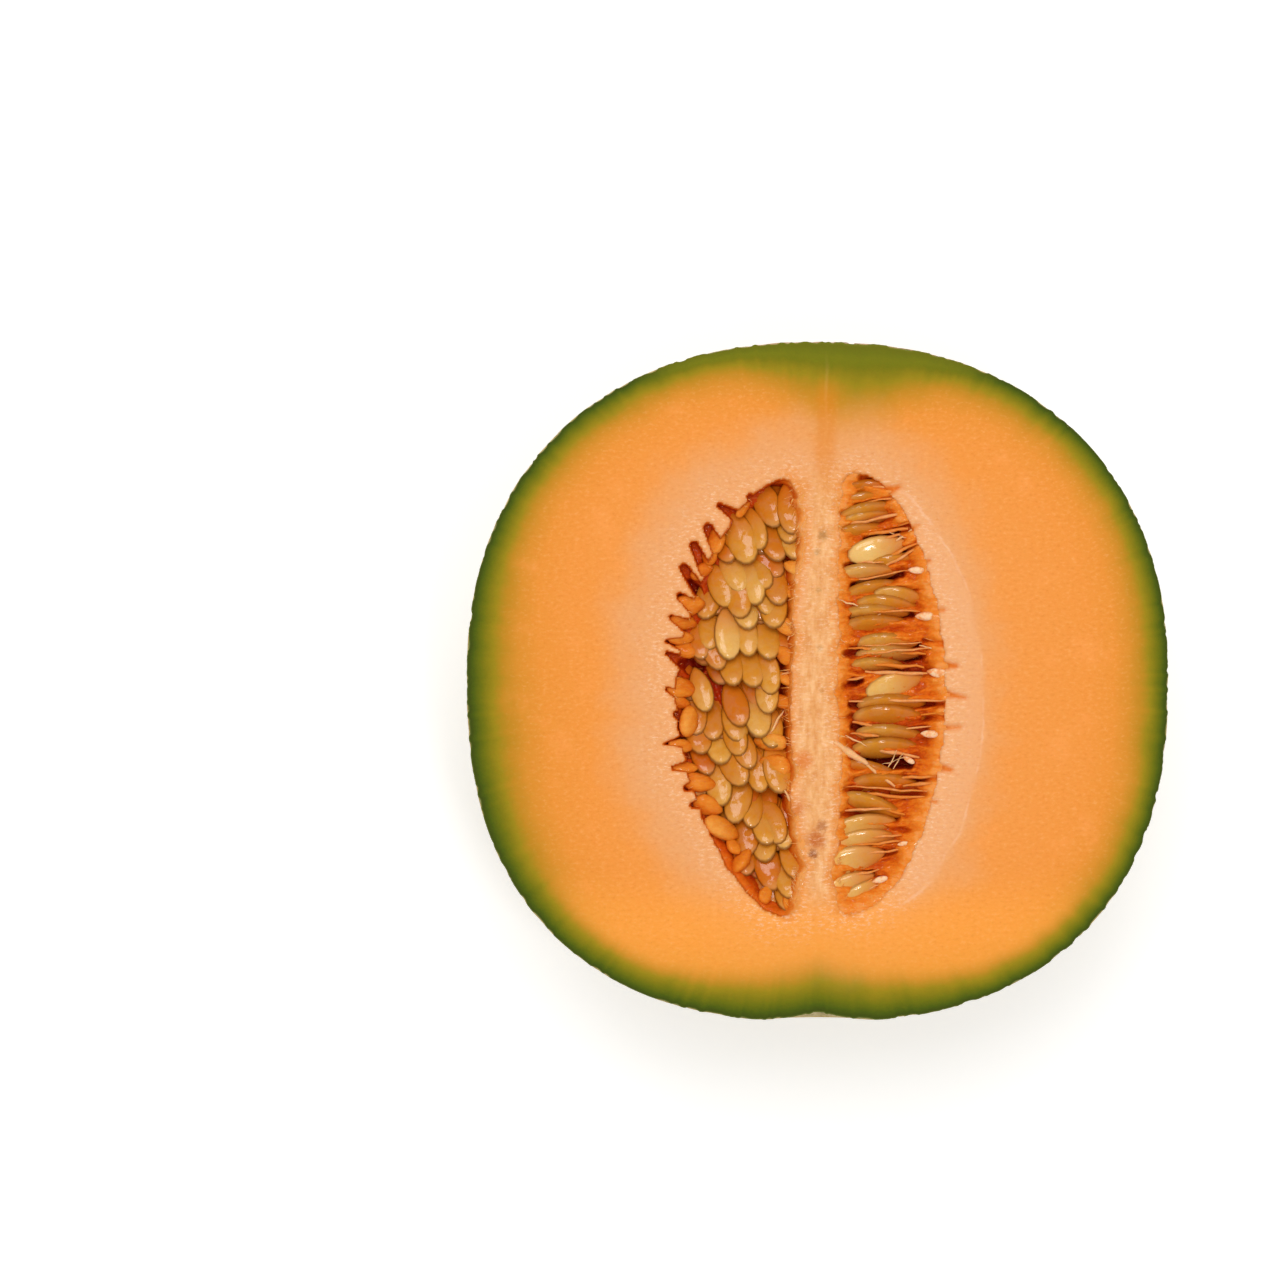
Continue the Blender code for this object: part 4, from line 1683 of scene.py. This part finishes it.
# Round ends of the left pocket's seeds, from the blossom end down: picture x and y, and heading in degrees
SHINGLED = (
    (778, 526, -65), (793, 534, -80), (790, 543, -85), (762, 549, -68), (741, 552, -72), (732, 563, -62),
    (781, 562, -70), (797, 559, -80), (750, 563, -70), (770, 588, -50), (744, 592, -60), (729, 608, -65),
    (703, 620, -110), (758, 605, -75), (781, 606, -75), (743, 618, -75), (770, 617, -80), (750, 630, -80),
    (775, 628, -85), (710, 650, -90), (729, 660, -85), (703, 660, -80), (750, 657, -80), (770, 659, -85),
    (721, 669, -70), (735, 687, -78), (756, 687, -75), (773, 696, -80), (708, 713, -70), (743, 727, -68),
    (769, 715, -85), (697, 736, -80), (714, 742, -88), (739, 742, -85), (761, 737, -85), (703, 754, -75),
    (773, 748, -88), (722, 764, -80), (741, 756, -75), (752, 770, -70), (775, 779, -85), (710, 776, -70),
    (744, 785, -65), (762, 794, -75), (781, 793, -85), (723, 806, -80), (700, 800, -85), (733, 823, -100),
    (751, 829, -95), (782, 845, -68), (713, 822, -80), (747, 857, -90), (725, 842, -80), (767, 846, -90),
    (785, 851, -85), (766, 862, -85), (797, 880, -75), (747, 877, -85), (775, 891, -75), (792, 900, -80),
    (771, 906, -85), (789, 912, -85),
)

# Middles of the right pocket's seeds: picture x and y, tilt and roll in degrees, length and tint
STACKED = (
    (876, 488, 2, 62, 0.90, 0.9), (868, 500, 10, 60, 0.95, 0.6), (871, 511, 12, 66, 0.95, 0.5),
    (867, 520, 13, 60, 1.00, 0.4), (861, 532, 10, 66, 0.95, 0.6), (881, 549, 14, 14, 1.02, 0.0),
    (896, 562, 10, 62, 0.95, 0.5), (870, 573, 5, 64, 1.05, 0.3), (876, 590, 12, 62, 0.95, 0.6),
    (902, 596, -4, 38, 0.80, 0.4), (890, 605, -3, 55, 1.00, 0.5), (880, 613, 1, 72, 1.10, 0.4),
    (880, 625, 3, 64, 1.10, 0.7), (891, 643, 1, 58, 1.05, 0.4), (892, 654, 2, 74, 1.10, 0.3),
    (880, 665, 0, 70, 0.90, 0.4), (898, 685, 17, 22, 1.00, 0.15), (895, 704, 2, 66, 1.10, 0.6),
    (893, 717, 0, 52, 1.15, 0.7), (892, 734, -1, 68, 1.10, 0.4), (889, 748, 3, 64, 1.10, 0.5),
    (876, 772, -14, 62, 1.00, 0.8), (891, 785, -3, 54, 1.10, 0.8), (876, 806, -18, 56, 1.05, 0.5),
    (867, 827, 11, 36, 1.05, 0.25), (869, 841, 9, 34, 1.00, 0.25), (856, 860, 13, 24, 1.05, 0.15),
    (850, 887, 24, 20, 0.95, 0.10), (868, 892, 26, 34, 0.85, 0.2),
)

# Orange sacs along the left pocket's wall and septum: picture x and y of the middle, heading, size
SACS = (
    (716, 540, -105, 0.7), (710, 553, -100, 0.7), (702, 571, -150, 0.7), (689, 605, -175, 0.85),
    (683, 622, 175, 0.8), (681, 638, 178, 0.75), (688, 650, 170, 0.7), (681, 688, 172, 0.85),
    (677, 702, 165, 0.7), (689, 721, -100, 0.85), (681, 746, 175, 0.7), (684, 768, 178, 0.7),
    (699, 783, 172, 0.8), (708, 806, 160, 0.85), (722, 829, 150, 0.9), (733, 846, -60, 0.5),
    (742, 861, -125, 0.7), (766, 895, -110, 0.5), (787, 903, -90, 0.45), (743, 509, -130, 0.5),
    (801, 524, -60, 0.5), (801, 549, -30, 0.5), (795, 568, -20, 0.6), (791, 592, -25, 0.55),
    (786, 626, -30, 0.55), (785, 655, -40, 0.6), (784, 678, -30, 0.6), (782, 701, -25, 0.6),
    (771, 742, -5, 0.9), (774, 766, -10, 0.85), (784, 785, -20, 0.6), (799, 826, -70, 0.5),
)


@dataclass
class Seeds:
    """The seeds of both pockets."""

    tip_depth: float = 1.0 * MM
    wall_fall: float = 2.8 * MM
    under_fall: float = 2.0 * MM
    pitch: float = 22.0
    rocking: float = 12.0
    swell: float = 1.02
    edge_tint: float = 0.4
    under_tint: float = 0.75
    stack_depth: float = 0.3 * MM
    stack_swell: float = 1.06
    stack_tint: float = 0.75
    stack_shift: float = 3.0
    stack_pitch: float = 3.0
    lean: float = 0.82
    chance: random.Random = field(default_factory=lambda: random.Random(21))

    def shingled(self) -> list[Lie]:
        """The left pocket's seeds. Each slopes down from its round end, which lies on the seeds below it.

        Returns:
            How the upper layer lies, and then a deeper one that shows in its gaps.
        """
        lies = []
        for px, py, heading in SHINGLED:
            lies.append(self.hanging(px, py, heading, 0.0, self.chance.gauss(0.36, 0.12)))
        for px, py, heading in SHINGLED:
            aside = self.chance.choice((-1, 1)) * self.chance.uniform(9, 16)
            back = self.chance.uniform(2, 12)
            lies.append(self.hanging(px + aside, py - back, heading, self.under_fall, self.under_tint))
        return lies

    def hanging(self, px: float, py: float, heading: float, fall: float, tint: float) -> Lie:
        """A seed of the left pocket, by the picture place of its round end.

        Args:
            px: Picture x of the round end.
            py: Picture y of the round end.
            heading: Where the round end points, in degrees.
            fall: How much deeper than the top ones it lies, in metres.
            tint: Its tint, 0 pale to 1 orange.

        Returns:
            How it lies.
        """
        chance = self.chance
        size = self.swell * chance.uniform(0.92, 1.08)
        heading += chance.uniform(-4, 4)
        pitch = self.pitch + chance.uniform(-7, 7)
        tip = pixel_place(px, py)
        share = min(float(LEFT.share(tip[:1], tip[1:])[0]), 1.0)
        outward = float(LEFT.outward(tip[None, :])[0])
        depth = self.tip_depth + self.wall_fall * share ** 3 * outward + fall + chance.uniform(0, 0.9) * MM
        tint = min(1.0, max(0.05, tint + self.edge_tint * share ** 4 * outward))
        back = SeedShape.length / 2 * size
        flat = back * math.cos(math.radians(pitch))
        turn = math.radians(heading)
        return Lie(
            x=tip[0] - flat * math.cos(turn), y=tip[1] - flat * math.sin(turn),
            z=CUT_Z - depth - back * math.sin(math.radians(pitch)), heading=heading, pitch=pitch,
            roll=chance.uniform(-self.rocking, self.rocking),
            size=(size, size * chance.uniform(0.94, 1.06), size), tint=tint)

    def stacked(self) -> list[Lie]:
        """The right pocket's seeds, on edge side by side, but for the few that show their faces.

        Returns:
            How they lie.
        """
        lies = []
        half_width, half_thickness = SeedShape.width / 2, SeedShape.thickness / 2
        for px, py, tilt, roll, size, tint in STACKED:
            size *= self.stack_swell
            roll *= self.lean
            turn = math.radians(roll)
            stands = half_width * math.sin(turn) + half_thickness * math.cos(turn)
            depth = self.stack_depth + stands * size + self.chance.uniform(0, 0.6) * MM
            lies.append(Lie(
                x=PICTURE.x(px - self.stack_shift), y=PICTURE.y(py), z=CUT_Z - depth,
                heading=180 + tilt, pitch=self.stack_pitch, roll=-roll,
                size=(size * 1.12, size, size * 1.1), tint=tint * self.stack_tint))
        return lies

    def build(self) -> None:
        """Makes the two pieces, one for each pocket."""
        # A fainter edge line, with less painted contact shade, for the seeds on edge.
        pale_edged = SeedFinish(name="stacked_seed", outline=0.4)
        for name, finish, seed, lies in (
            ("seeds_left", SeedFinish(), 3, self.shingled()),
            ("seeds_right", pale_edged, 4, self.stacked()),
        ):
            scatter = Scatter(name, SeedShape().build(), finish.make(), seed)
            settle(scatter.build(lies), Slot.SEED, name)


@dataclass
class Sacs:
    """The soft orange sacs round the left pocket's seeds."""

    shape: SeedShape = SeedShape(length=9.4 * MM, width=5.6 * MM, thickness=3.0 * MM, taper=0.15)
    ruffle: float = 0.9 * MM
    tint: float = 0.9
    chance: random.Random = field(default_factory=lambda: random.Random(5))

    def sacs(self) -> list[Lie]:
        """Bulging sacs along the left pocket's wall and septum, rooted in them.

        Returns:
            How they lie.
        """
        lies = []
        for px, py, heading, size in SACS:
            middle = pixel_place(px, py)
            inner = 1 - float(LEFT.outward(middle[None, :])[0])
            depth = (self.chance.uniform(2.6, 3.6) - 0.9 * inner) * MM
            size *= self.chance.uniform(0.92, 1.1)
            lies.append(Lie(
                x=middle[0], y=middle[1], z=CUT_Z - depth, heading=heading,
                pitch=self.chance.uniform(2, 18), roll=self.chance.uniform(-30, 30),
                size=(size * 0.9, size * self.chance.uniform(0.7, 1.05), size), tint=self.tint))
        return lies

    def build(self) -> None:
        """Makes the piece, in a finish that stays orange to a greater depth than the pulp."""
        # Orange to a greater depth; deeper still it darkens as painted shade.
        finish = PulpFinish(name="sac", subsurface=0.3, shades=(
            (0.5, (238, 158, 66)), (2.0, (228, 130, 34)), (3.4, (212, 98, 12)), (5.5, (172, 48, 4)),
        )).make()
        scatter = Scatter("pulp_sacs", self.shape.build(), finish, 6, self.ruffle)
        settle(scatter.build(self.sacs()), Slot.PULP)


@dataclass(frozen=True)
class Wisp:
    """One torn fibre: a thin cone that droops toward its tip, rooted at its origin and pointing to +X."""

    length: float = 3.0 * MM
    radius: float = 0.08 * MM
    droop: float = 0.25
    sides: int = 5
    rings: int = 5

    def build(self) -> bpy.types.Object:
        """Makes the fibre.

        Returns:
            The fibre.
        """
        points = [(0.0, 0.0, 0.0)]
        turns = np.linspace(0, 2 * math.pi, self.sides, endpoint=False)
        for ring in range(self.rings):
            along = ring / self.rings
            radius = self.radius * (1 - along) ** 0.6
            z = -self.droop * self.length * along ** 2
            points += [
                (along * self.length, radius * math.cos(turn), radius * math.sin(turn) + z) for turn in turns
            ]
        points.append((self.length, 0.0, -self.droop * self.length))
        return mesh_object("wisp_shape", points, turned_faces(self.sides, self.rings))


@dataclass
class Fringe:
    """Torn fibres round the edges of both pockets, pointing into them."""

    count: int = 380
    inner_share: float = 0.75
    ruffle: float = 0.8 * MM
    fan: float = 30.0
    steepest: float = 35.0
    chance: random.Random = field(default_factory=lambda: random.Random(9))

    def lies(self) -> list[Lie]:
        """Where the fibres stand: evenly along the outlines, mostly on the septum's side.

        Returns:
            How they lie.
        """
        lies = []
        rings = {lobe.name: lobe.outline(900) for lobe in (LEFT, RIGHT)}
        while len(lies) < self.count:
            lobe = self.chance.choice((LEFT, RIGHT))
            ring = rings[lobe.name]
            aim = lobe.middle_y + self.chance.uniform(-0.97, 0.97) * lobe.half_length
            inner = self.chance.random() < self.inner_share
            side = ring[((ring[:, 0] - lobe.middle_x) * lobe.side > 0) != inner]
            place = side[np.abs(side[:, 1] - aim).argmin()]
            inward = np.array([lobe.middle_x, place[1] * 0.85 + lobe.middle_y * 0.15]) - place
            inward /= max(np.linalg.norm(inward), 0.1 * MM)
            place = place + inward * max(float(lobe.plain_distance(place[None, :])[0]), 0.0)
            heading = math.degrees(math.atan2(inward[1], inward[0])) + self.chance.gauss(0, self.fan)
            back = inward * self.chance.uniform(-0.7, 0.4) * MM
            size = self.chance.uniform(0.3, 0.9) * (1.0 if inner else 0.6)
            lies.append(Lie(
                x=place[0] + back[0], y=place[1] + back[1], z=CUT_Z - self.chance.uniform(0.15, 0.9) * MM,
                heading=heading, pitch=self.chance.uniform(-self.steepest, 0), roll=0,
                size=(size, size * self.chance.uniform(0.8, 2.4), size), tint=0.5))
        return lies

    def build(self) -> None:
        """Makes the piece."""
        finish = PlainPulpFinish(name="fibre", light=paint(248, 176, 104), dark=paint(230, 124, 38)).make()
        settle(Scatter("fringe", Wisp().build(), finish, 11, self.ruffle).build(self.lies()), Slot.PULP)


@dataclass(frozen=True)
class Strand:
    """A fibre or the thin edge of a pulp sheet: ends as picture x and y, half width, depths, sag and tint."""

    start: Pixel
    end: Pixel
    half_width: float
    start_depth: float = 0.8 * MM
    end_depth: float = 0.8 * MM
    sag: float = 1.0 * MM
    tint: float = 0.0


LOOSE_STRANDS = (
    Strand((888, 769), (897, 751), 0.16 * MM, 2.6 * MM, 1.0 * MM),
    Strand((894, 770), (904, 753), 0.14 * MM, 2.6 * MM),
    Strand((878, 766), (905, 758), 0.1 * MM, 3.0 * MM),
    Strand((833, 742), (868, 764), 0.85 * MM, 0.4 * MM, 1.2 * MM, tint=0.3),
    Strand((860, 759), (895, 787), 0.42 * MM, 1.0 * MM, 1.4 * MM, tint=0.4),
    Strand((783, 711), (771, 733), 0.26 * MM, 0.6 * MM, 1.6 * MM, tint=0.3),
    Strand((785, 792), (800, 815), 0.36 * MM),
    Strand((798, 812), (795, 838), 0.3 * MM, tint=0.2),
    Strand((659, 628), (676, 635), 0.08 * MM, 0.0, 1.2 * MM),
    Strand((871, 620), (881, 614), 0.12 * MM, 1.6 * MM),
    Strand((889, 532), (906, 538), 0.12 * MM, 1.0 * MM),
    Strand((896, 541), (921, 524), 0.32 * MM, 1.2 * MM, tint=0.3),
    Strand((920, 645), (948, 652), 0.2 * MM, tint=0.1),
    Strand((795, 622), (788, 640), 0.2 * MM, 0.5 * MM, 1.8 * MM, tint=0.3),
    Strand((840, 600), (858, 606), 0.2 * MM),
    Strand((797, 668), (782, 676), 0.22 * MM, 0.4 * MM, 1.8 * MM, tint=0.4),
    Strand((846, 735), (866, 746), 0.2 * MM),
)


@dataclass
class Strands:
    """Fibres that cross the pockets, and the pale edges of the sheets beside the right pocket's gaps."""

    points: int = 9
    sides: int = 6
    sheet_half_width: float = 0.32 * MM
    least_depth: float = 0.25 * MM
    tallness: float = 1.8
    ruffle: float = 1.6 * MM
    pull: tuple[float, float, float] = (0.6, 1.0, 0.35)
    sheet_gap: float = 2.2
    chance: random.Random = field(default_factory=lambda: random.Random(14))

    def sheets(self) -> list[Strand]:
        """The sheets' edges: above each gap of the right pocket and below every third, past its ends.

        Returns:
            The edges.
        """
        sheets = []
        for number, slit in enumerate(RIGHT_SLITS):
            half = slit.width / 2 / PICTURE.pixel + self.sheet_gap
            for up in (-1, 1) if number % 3 == 0 else (-1,):
                reach = self.chance.uniform(2, 12)
                sheets.append(Strand(
                    start=(slit.start[0] - self.chance.uniform(0, 4), slit.start[1] + up * half),
                    end=(slit.end[0] + reach, slit.end[1] + up * half * 0.8),
                    half_width=self.sheet_half_width * self.chance.uniform(0.7, 1.4),
                    start_depth=self.chance.uniform(2.0, 3.0) * MM,
                    end_depth=self.chance.uniform(1.0, 1.8) * MM,
                    sag=self.chance.uniform(-0.6, 0.3) * MM, tint=self.chance.uniform(0.55, 1.0)))
        return sheets

    def tree(self, finish: bpy.types.Material) -> GeometryTree:
        """The rule that turns lines of points into tapering, uneven tubes that stand taller than wide.

        Args:
            finish: The tubes' finish.

        Returns:
            The tree.
        """
        shape = GeometryTree("strand_tubes", {
            "Sides": self.sides, "Tallness": self.tallness, "Ruffle": self.ruffle, "Finish": finish,
        })
        maker, given = shape.maker, shape.given
        curve = maker.out("GeometryNodeMeshToCurve", None, {0: given("Geometry")})
        curve = maker.out("GeometryNodeSetCurveNormal", {"mode": "Z_UP"}, {"Curve": curve})
        sizes = {"Resolution": given("Sides"), "Radius": 1.0}
        circle = maker.out("GeometryNodeCurvePrimitiveCircle", None, sizes)
        profile = maker.out("GeometryNodeTransform", None, {
            "Geometry": circle, "Scale": maker.join(1.0, given("Tallness"), 1.0),
        })
        tube = maker.out("GeometryNodeCurveToMesh", None, {
            "Curve": curve, "Profile Curve": profile, "Scale": shape.carried("half_width"), "Fill Caps": True,
        })
        pull = maker.vector("SCALE", maker.drift(shape.place(), 0.4, 3, 0.6), given("Ruffle"))
        shape.finish(shape.moved(tube, maker.vector("MULTIPLY", pull, self.pull)))
        return shape

    def build(self) -> None:
        """Makes the piece."""
        places, edges, widths, tints = [], [], [], []
        along = np.linspace(0, 1, self.points)
        for strand in (*LOOSE_STRANDS, *self.sheets()):
            start, end = pixel_place(*strand.start), pixel_place(*strand.end)
            depth = strand.start_depth + (strand.end_depth - strand.start_depth) * along
            depth = np.maximum(depth + strand.sag * np.sin(math.pi * along), self.least_depth)
            first = len(places)
            places += [(*(start + (end - start) * t), CUT_Z - d) for t, d in zip(along, depth)]
            edges += [(first + k, first + k + 1) for k in range(self.points - 1)]
            swell = 0.25 + 0.75 * np.sin(math.pi * (0.04 + 0.92 * along)) ** 0.6
            widths += list(strand.half_width * swell)
            tints += [strand.tint] * self.points
        mesh = bpy.data.meshes.new("strand_lines")
        mesh.from_pydata(places, edges, [])
        host = link(bpy.data.objects.new("strand_lines", mesh))
        carry(mesh, "half_width", widths)
        carry(mesh, "tint", tints)
        settle(self.tree(StrandFinish().make()).run(host, "pulp_strands"), Slot.PULP)


# Pale stalks at the outer ends of the right pocket's seeds: picture x and y of the middle, tilt, size
STALKS = (
    (926, 616, 2, 1.0), (939, 673, -8, 1.1), (930, 734, -3, 0.8), (909, 760, -30, 0.6),
    (917, 570, 0, 0.8), (903, 844, 10, 0.5), (880, 880, 15, 0.7), (944, 690, -10, 0.6),
)


@dataclass
class Stalks:
    """The pale seed stalks, each a small seed shape."""

    depth: float = 1.3 * MM
    pitch: float = 4.0
    roll: float = 10.0
    sizes: tuple[float, float, float] = (0.42, 0.36, 0.8)

    def build(self) -> None:
        """Makes the piece."""
        finish = PlainPulpFinish().make()
        lies = [
            Lie(
                x=PICTURE.x(px), y=PICTURE.y(py), z=CUT_Z - self.depth, heading=tilt, pitch=self.pitch,
                roll=self.roll, size=tuple(share * size for share in self.sizes), tint=0.0)
            for px, py, tilt, size in STALKS
        ]
        settle(Scatter("seed_stalks", SeedShape().build(), finish, 8).build(lies), Slot.PULP)


# Stage


@dataclass(frozen=True)
class Lamp:
    """A square lamp that shines at the half: where it hangs, its width in metres and its power in watts."""

    name: str
    place: tuple[float, float, float]
    width: float
    power: float

    def build(self) -> None:
        """Hangs it and turns it toward the middle of the cut face."""
        data = bpy.data.lights.new(self.name, "AREA")
        data.size = self.width
        data.energy = self.power
        lamp = link(bpy.data.objects.new(self.name, data))
        lamp.location = self.place
        toward = Vector((0, 0, CUT_Z)) - Vector(self.place)
        lamp.rotation_euler = toward.to_track_quat("-Z", "Y").to_euler()


@dataclass
class Studio:
    """A white floor, soft light and a camera that looks straight down."""

    camera_height: float = 1.5
    sensor: float = 36.0
    floor_size: float = 6.0
    floor_white: float = 0.97
    floor_glow: float = 0.27
    surround: float = 0.545
    lamps: tuple[Lamp, ...] = (
        Lamp("key", (-0.1, 0.5, 1.5), width=0.8, power=9.3),
        Lamp("glint", (0.16, -0.2, 1.3), width=0.16, power=2.6),
    )

    def build(self) -> None:
        """Makes the floor, the lights and the camera."""
        self.floor()
        self.lights()
        self.camera()

    def floor(self) -> None:
        """A plain white floor that the half rests on."""
        half = self.floor_size / 2
        corners = [(-half, -half, 0), (half, -half, 0), (half, half, 0), (-half, half, 0)]
        floor = mesh_object("floor", corners, [(0, 1, 2, 3)])
        material = bpy.data.materials.new("floor")
        material.use_nodes = True
        shader = material.node_tree.nodes["Principled BSDF"]
        for name, value in {
            "Base Color": (self.floor_white, self.floor_white, self.floor_white, 1),
            "Roughness": 0.9,
            "Specular IOR Level": 0.1,
            "Emission Color": (1, 1, 1, 1),
            "Emission Strength": self.floor_glow,
        }.items():
            shader.inputs[name].default_value = value
        floor.data.materials.append(material)

    def lights(self) -> None:
        """A broad key from beyond the blossom end, a small one for glints, and an even surround."""
        world = bpy.data.worlds.new("surround")
        world.use_nodes = True
        background = world.node_tree.nodes["Background"]
        background.inputs["Color"].default_value = (1, 1, 1, 1)
        background.inputs["Strength"].default_value = self.surround
        bpy.context.scene.world = world
        for lamp in self.lamps:
            lamp.build()

    def camera(self) -> None:
        """The camera, over the middle of the picture, whose width it takes in at the cut face."""
        data = bpy.data.cameras.new("camera")
        data.sensor_width = self.sensor
        data.lens = self.sensor * self.camera_height / (PICTURE.side * PICTURE.pixel)
        camera = link(bpy.data.objects.new("camera", data))
        middle = PICTURE.side / 2
        camera.location = (PICTURE.x(middle), PICTURE.y(middle), CUT_Z + self.camera_height)
        bpy.context.scene.camera = camera


def make_pulp() -> None:
    """Makes the two beds of pulp: a deep one in seeds, and a shallow one in folds across the pocket."""
    PulpBed(
        LEFT, LEFT_SLITS, middle_depth=6.2 * MM, outer_depth=4.2 * MM, inner_depth=0.25 * MM,
        fold_length=(0.5, 0.3, 0.3), fold_height=3.6 * MM, knob_height=1.8 * MM, gap_edge=0.6 * MM,
        end_rise=1.7 * MM,
    ).build(PulpFinish().make())
    # Redder and darker with depth, the darkening being painted shade.
    amber = PulpFinish(name="amber_pulp", subsurface=0.3, shades=(
        (0.2, (242, 152, 74)), (0.8, (238, 134, 40)), (1.8, (228, 112, 20)), (2.8, (200, 76, 8)),
        (4.2, (162, 38, 3)), (6.5, (112, 14, 2)),
    ))
    PulpBed(
        RIGHT, RIGHT_SLITS, middle_depth=2.5 * MM, outer_depth=0.5 * MM, inner_depth=0.5 * MM,
        fold_length=(0.07, 0.6, 0.3), fold_height=6.4 * MM, knob_height=1.2 * MM, gap_edge=0.9 * MM,
    ).build(amber.make())


def main() -> None:
    """Builds the stage and the half, piece by piece."""
    logging.basicConfig(level=logging.INFO, format="%(name)s %(message)s")
    bpy.context.scene.view_settings.view_transform = "Standard"
    Studio().build()
    rind = Rind()
    rind.build()
    Flesh().build(rind.edge)
    make_pulp()
    for part in (Seeds(), Sacs(), Fringe(), Strands(), Stalks()):
        part.build()


if __name__ == "__main__":
    main()
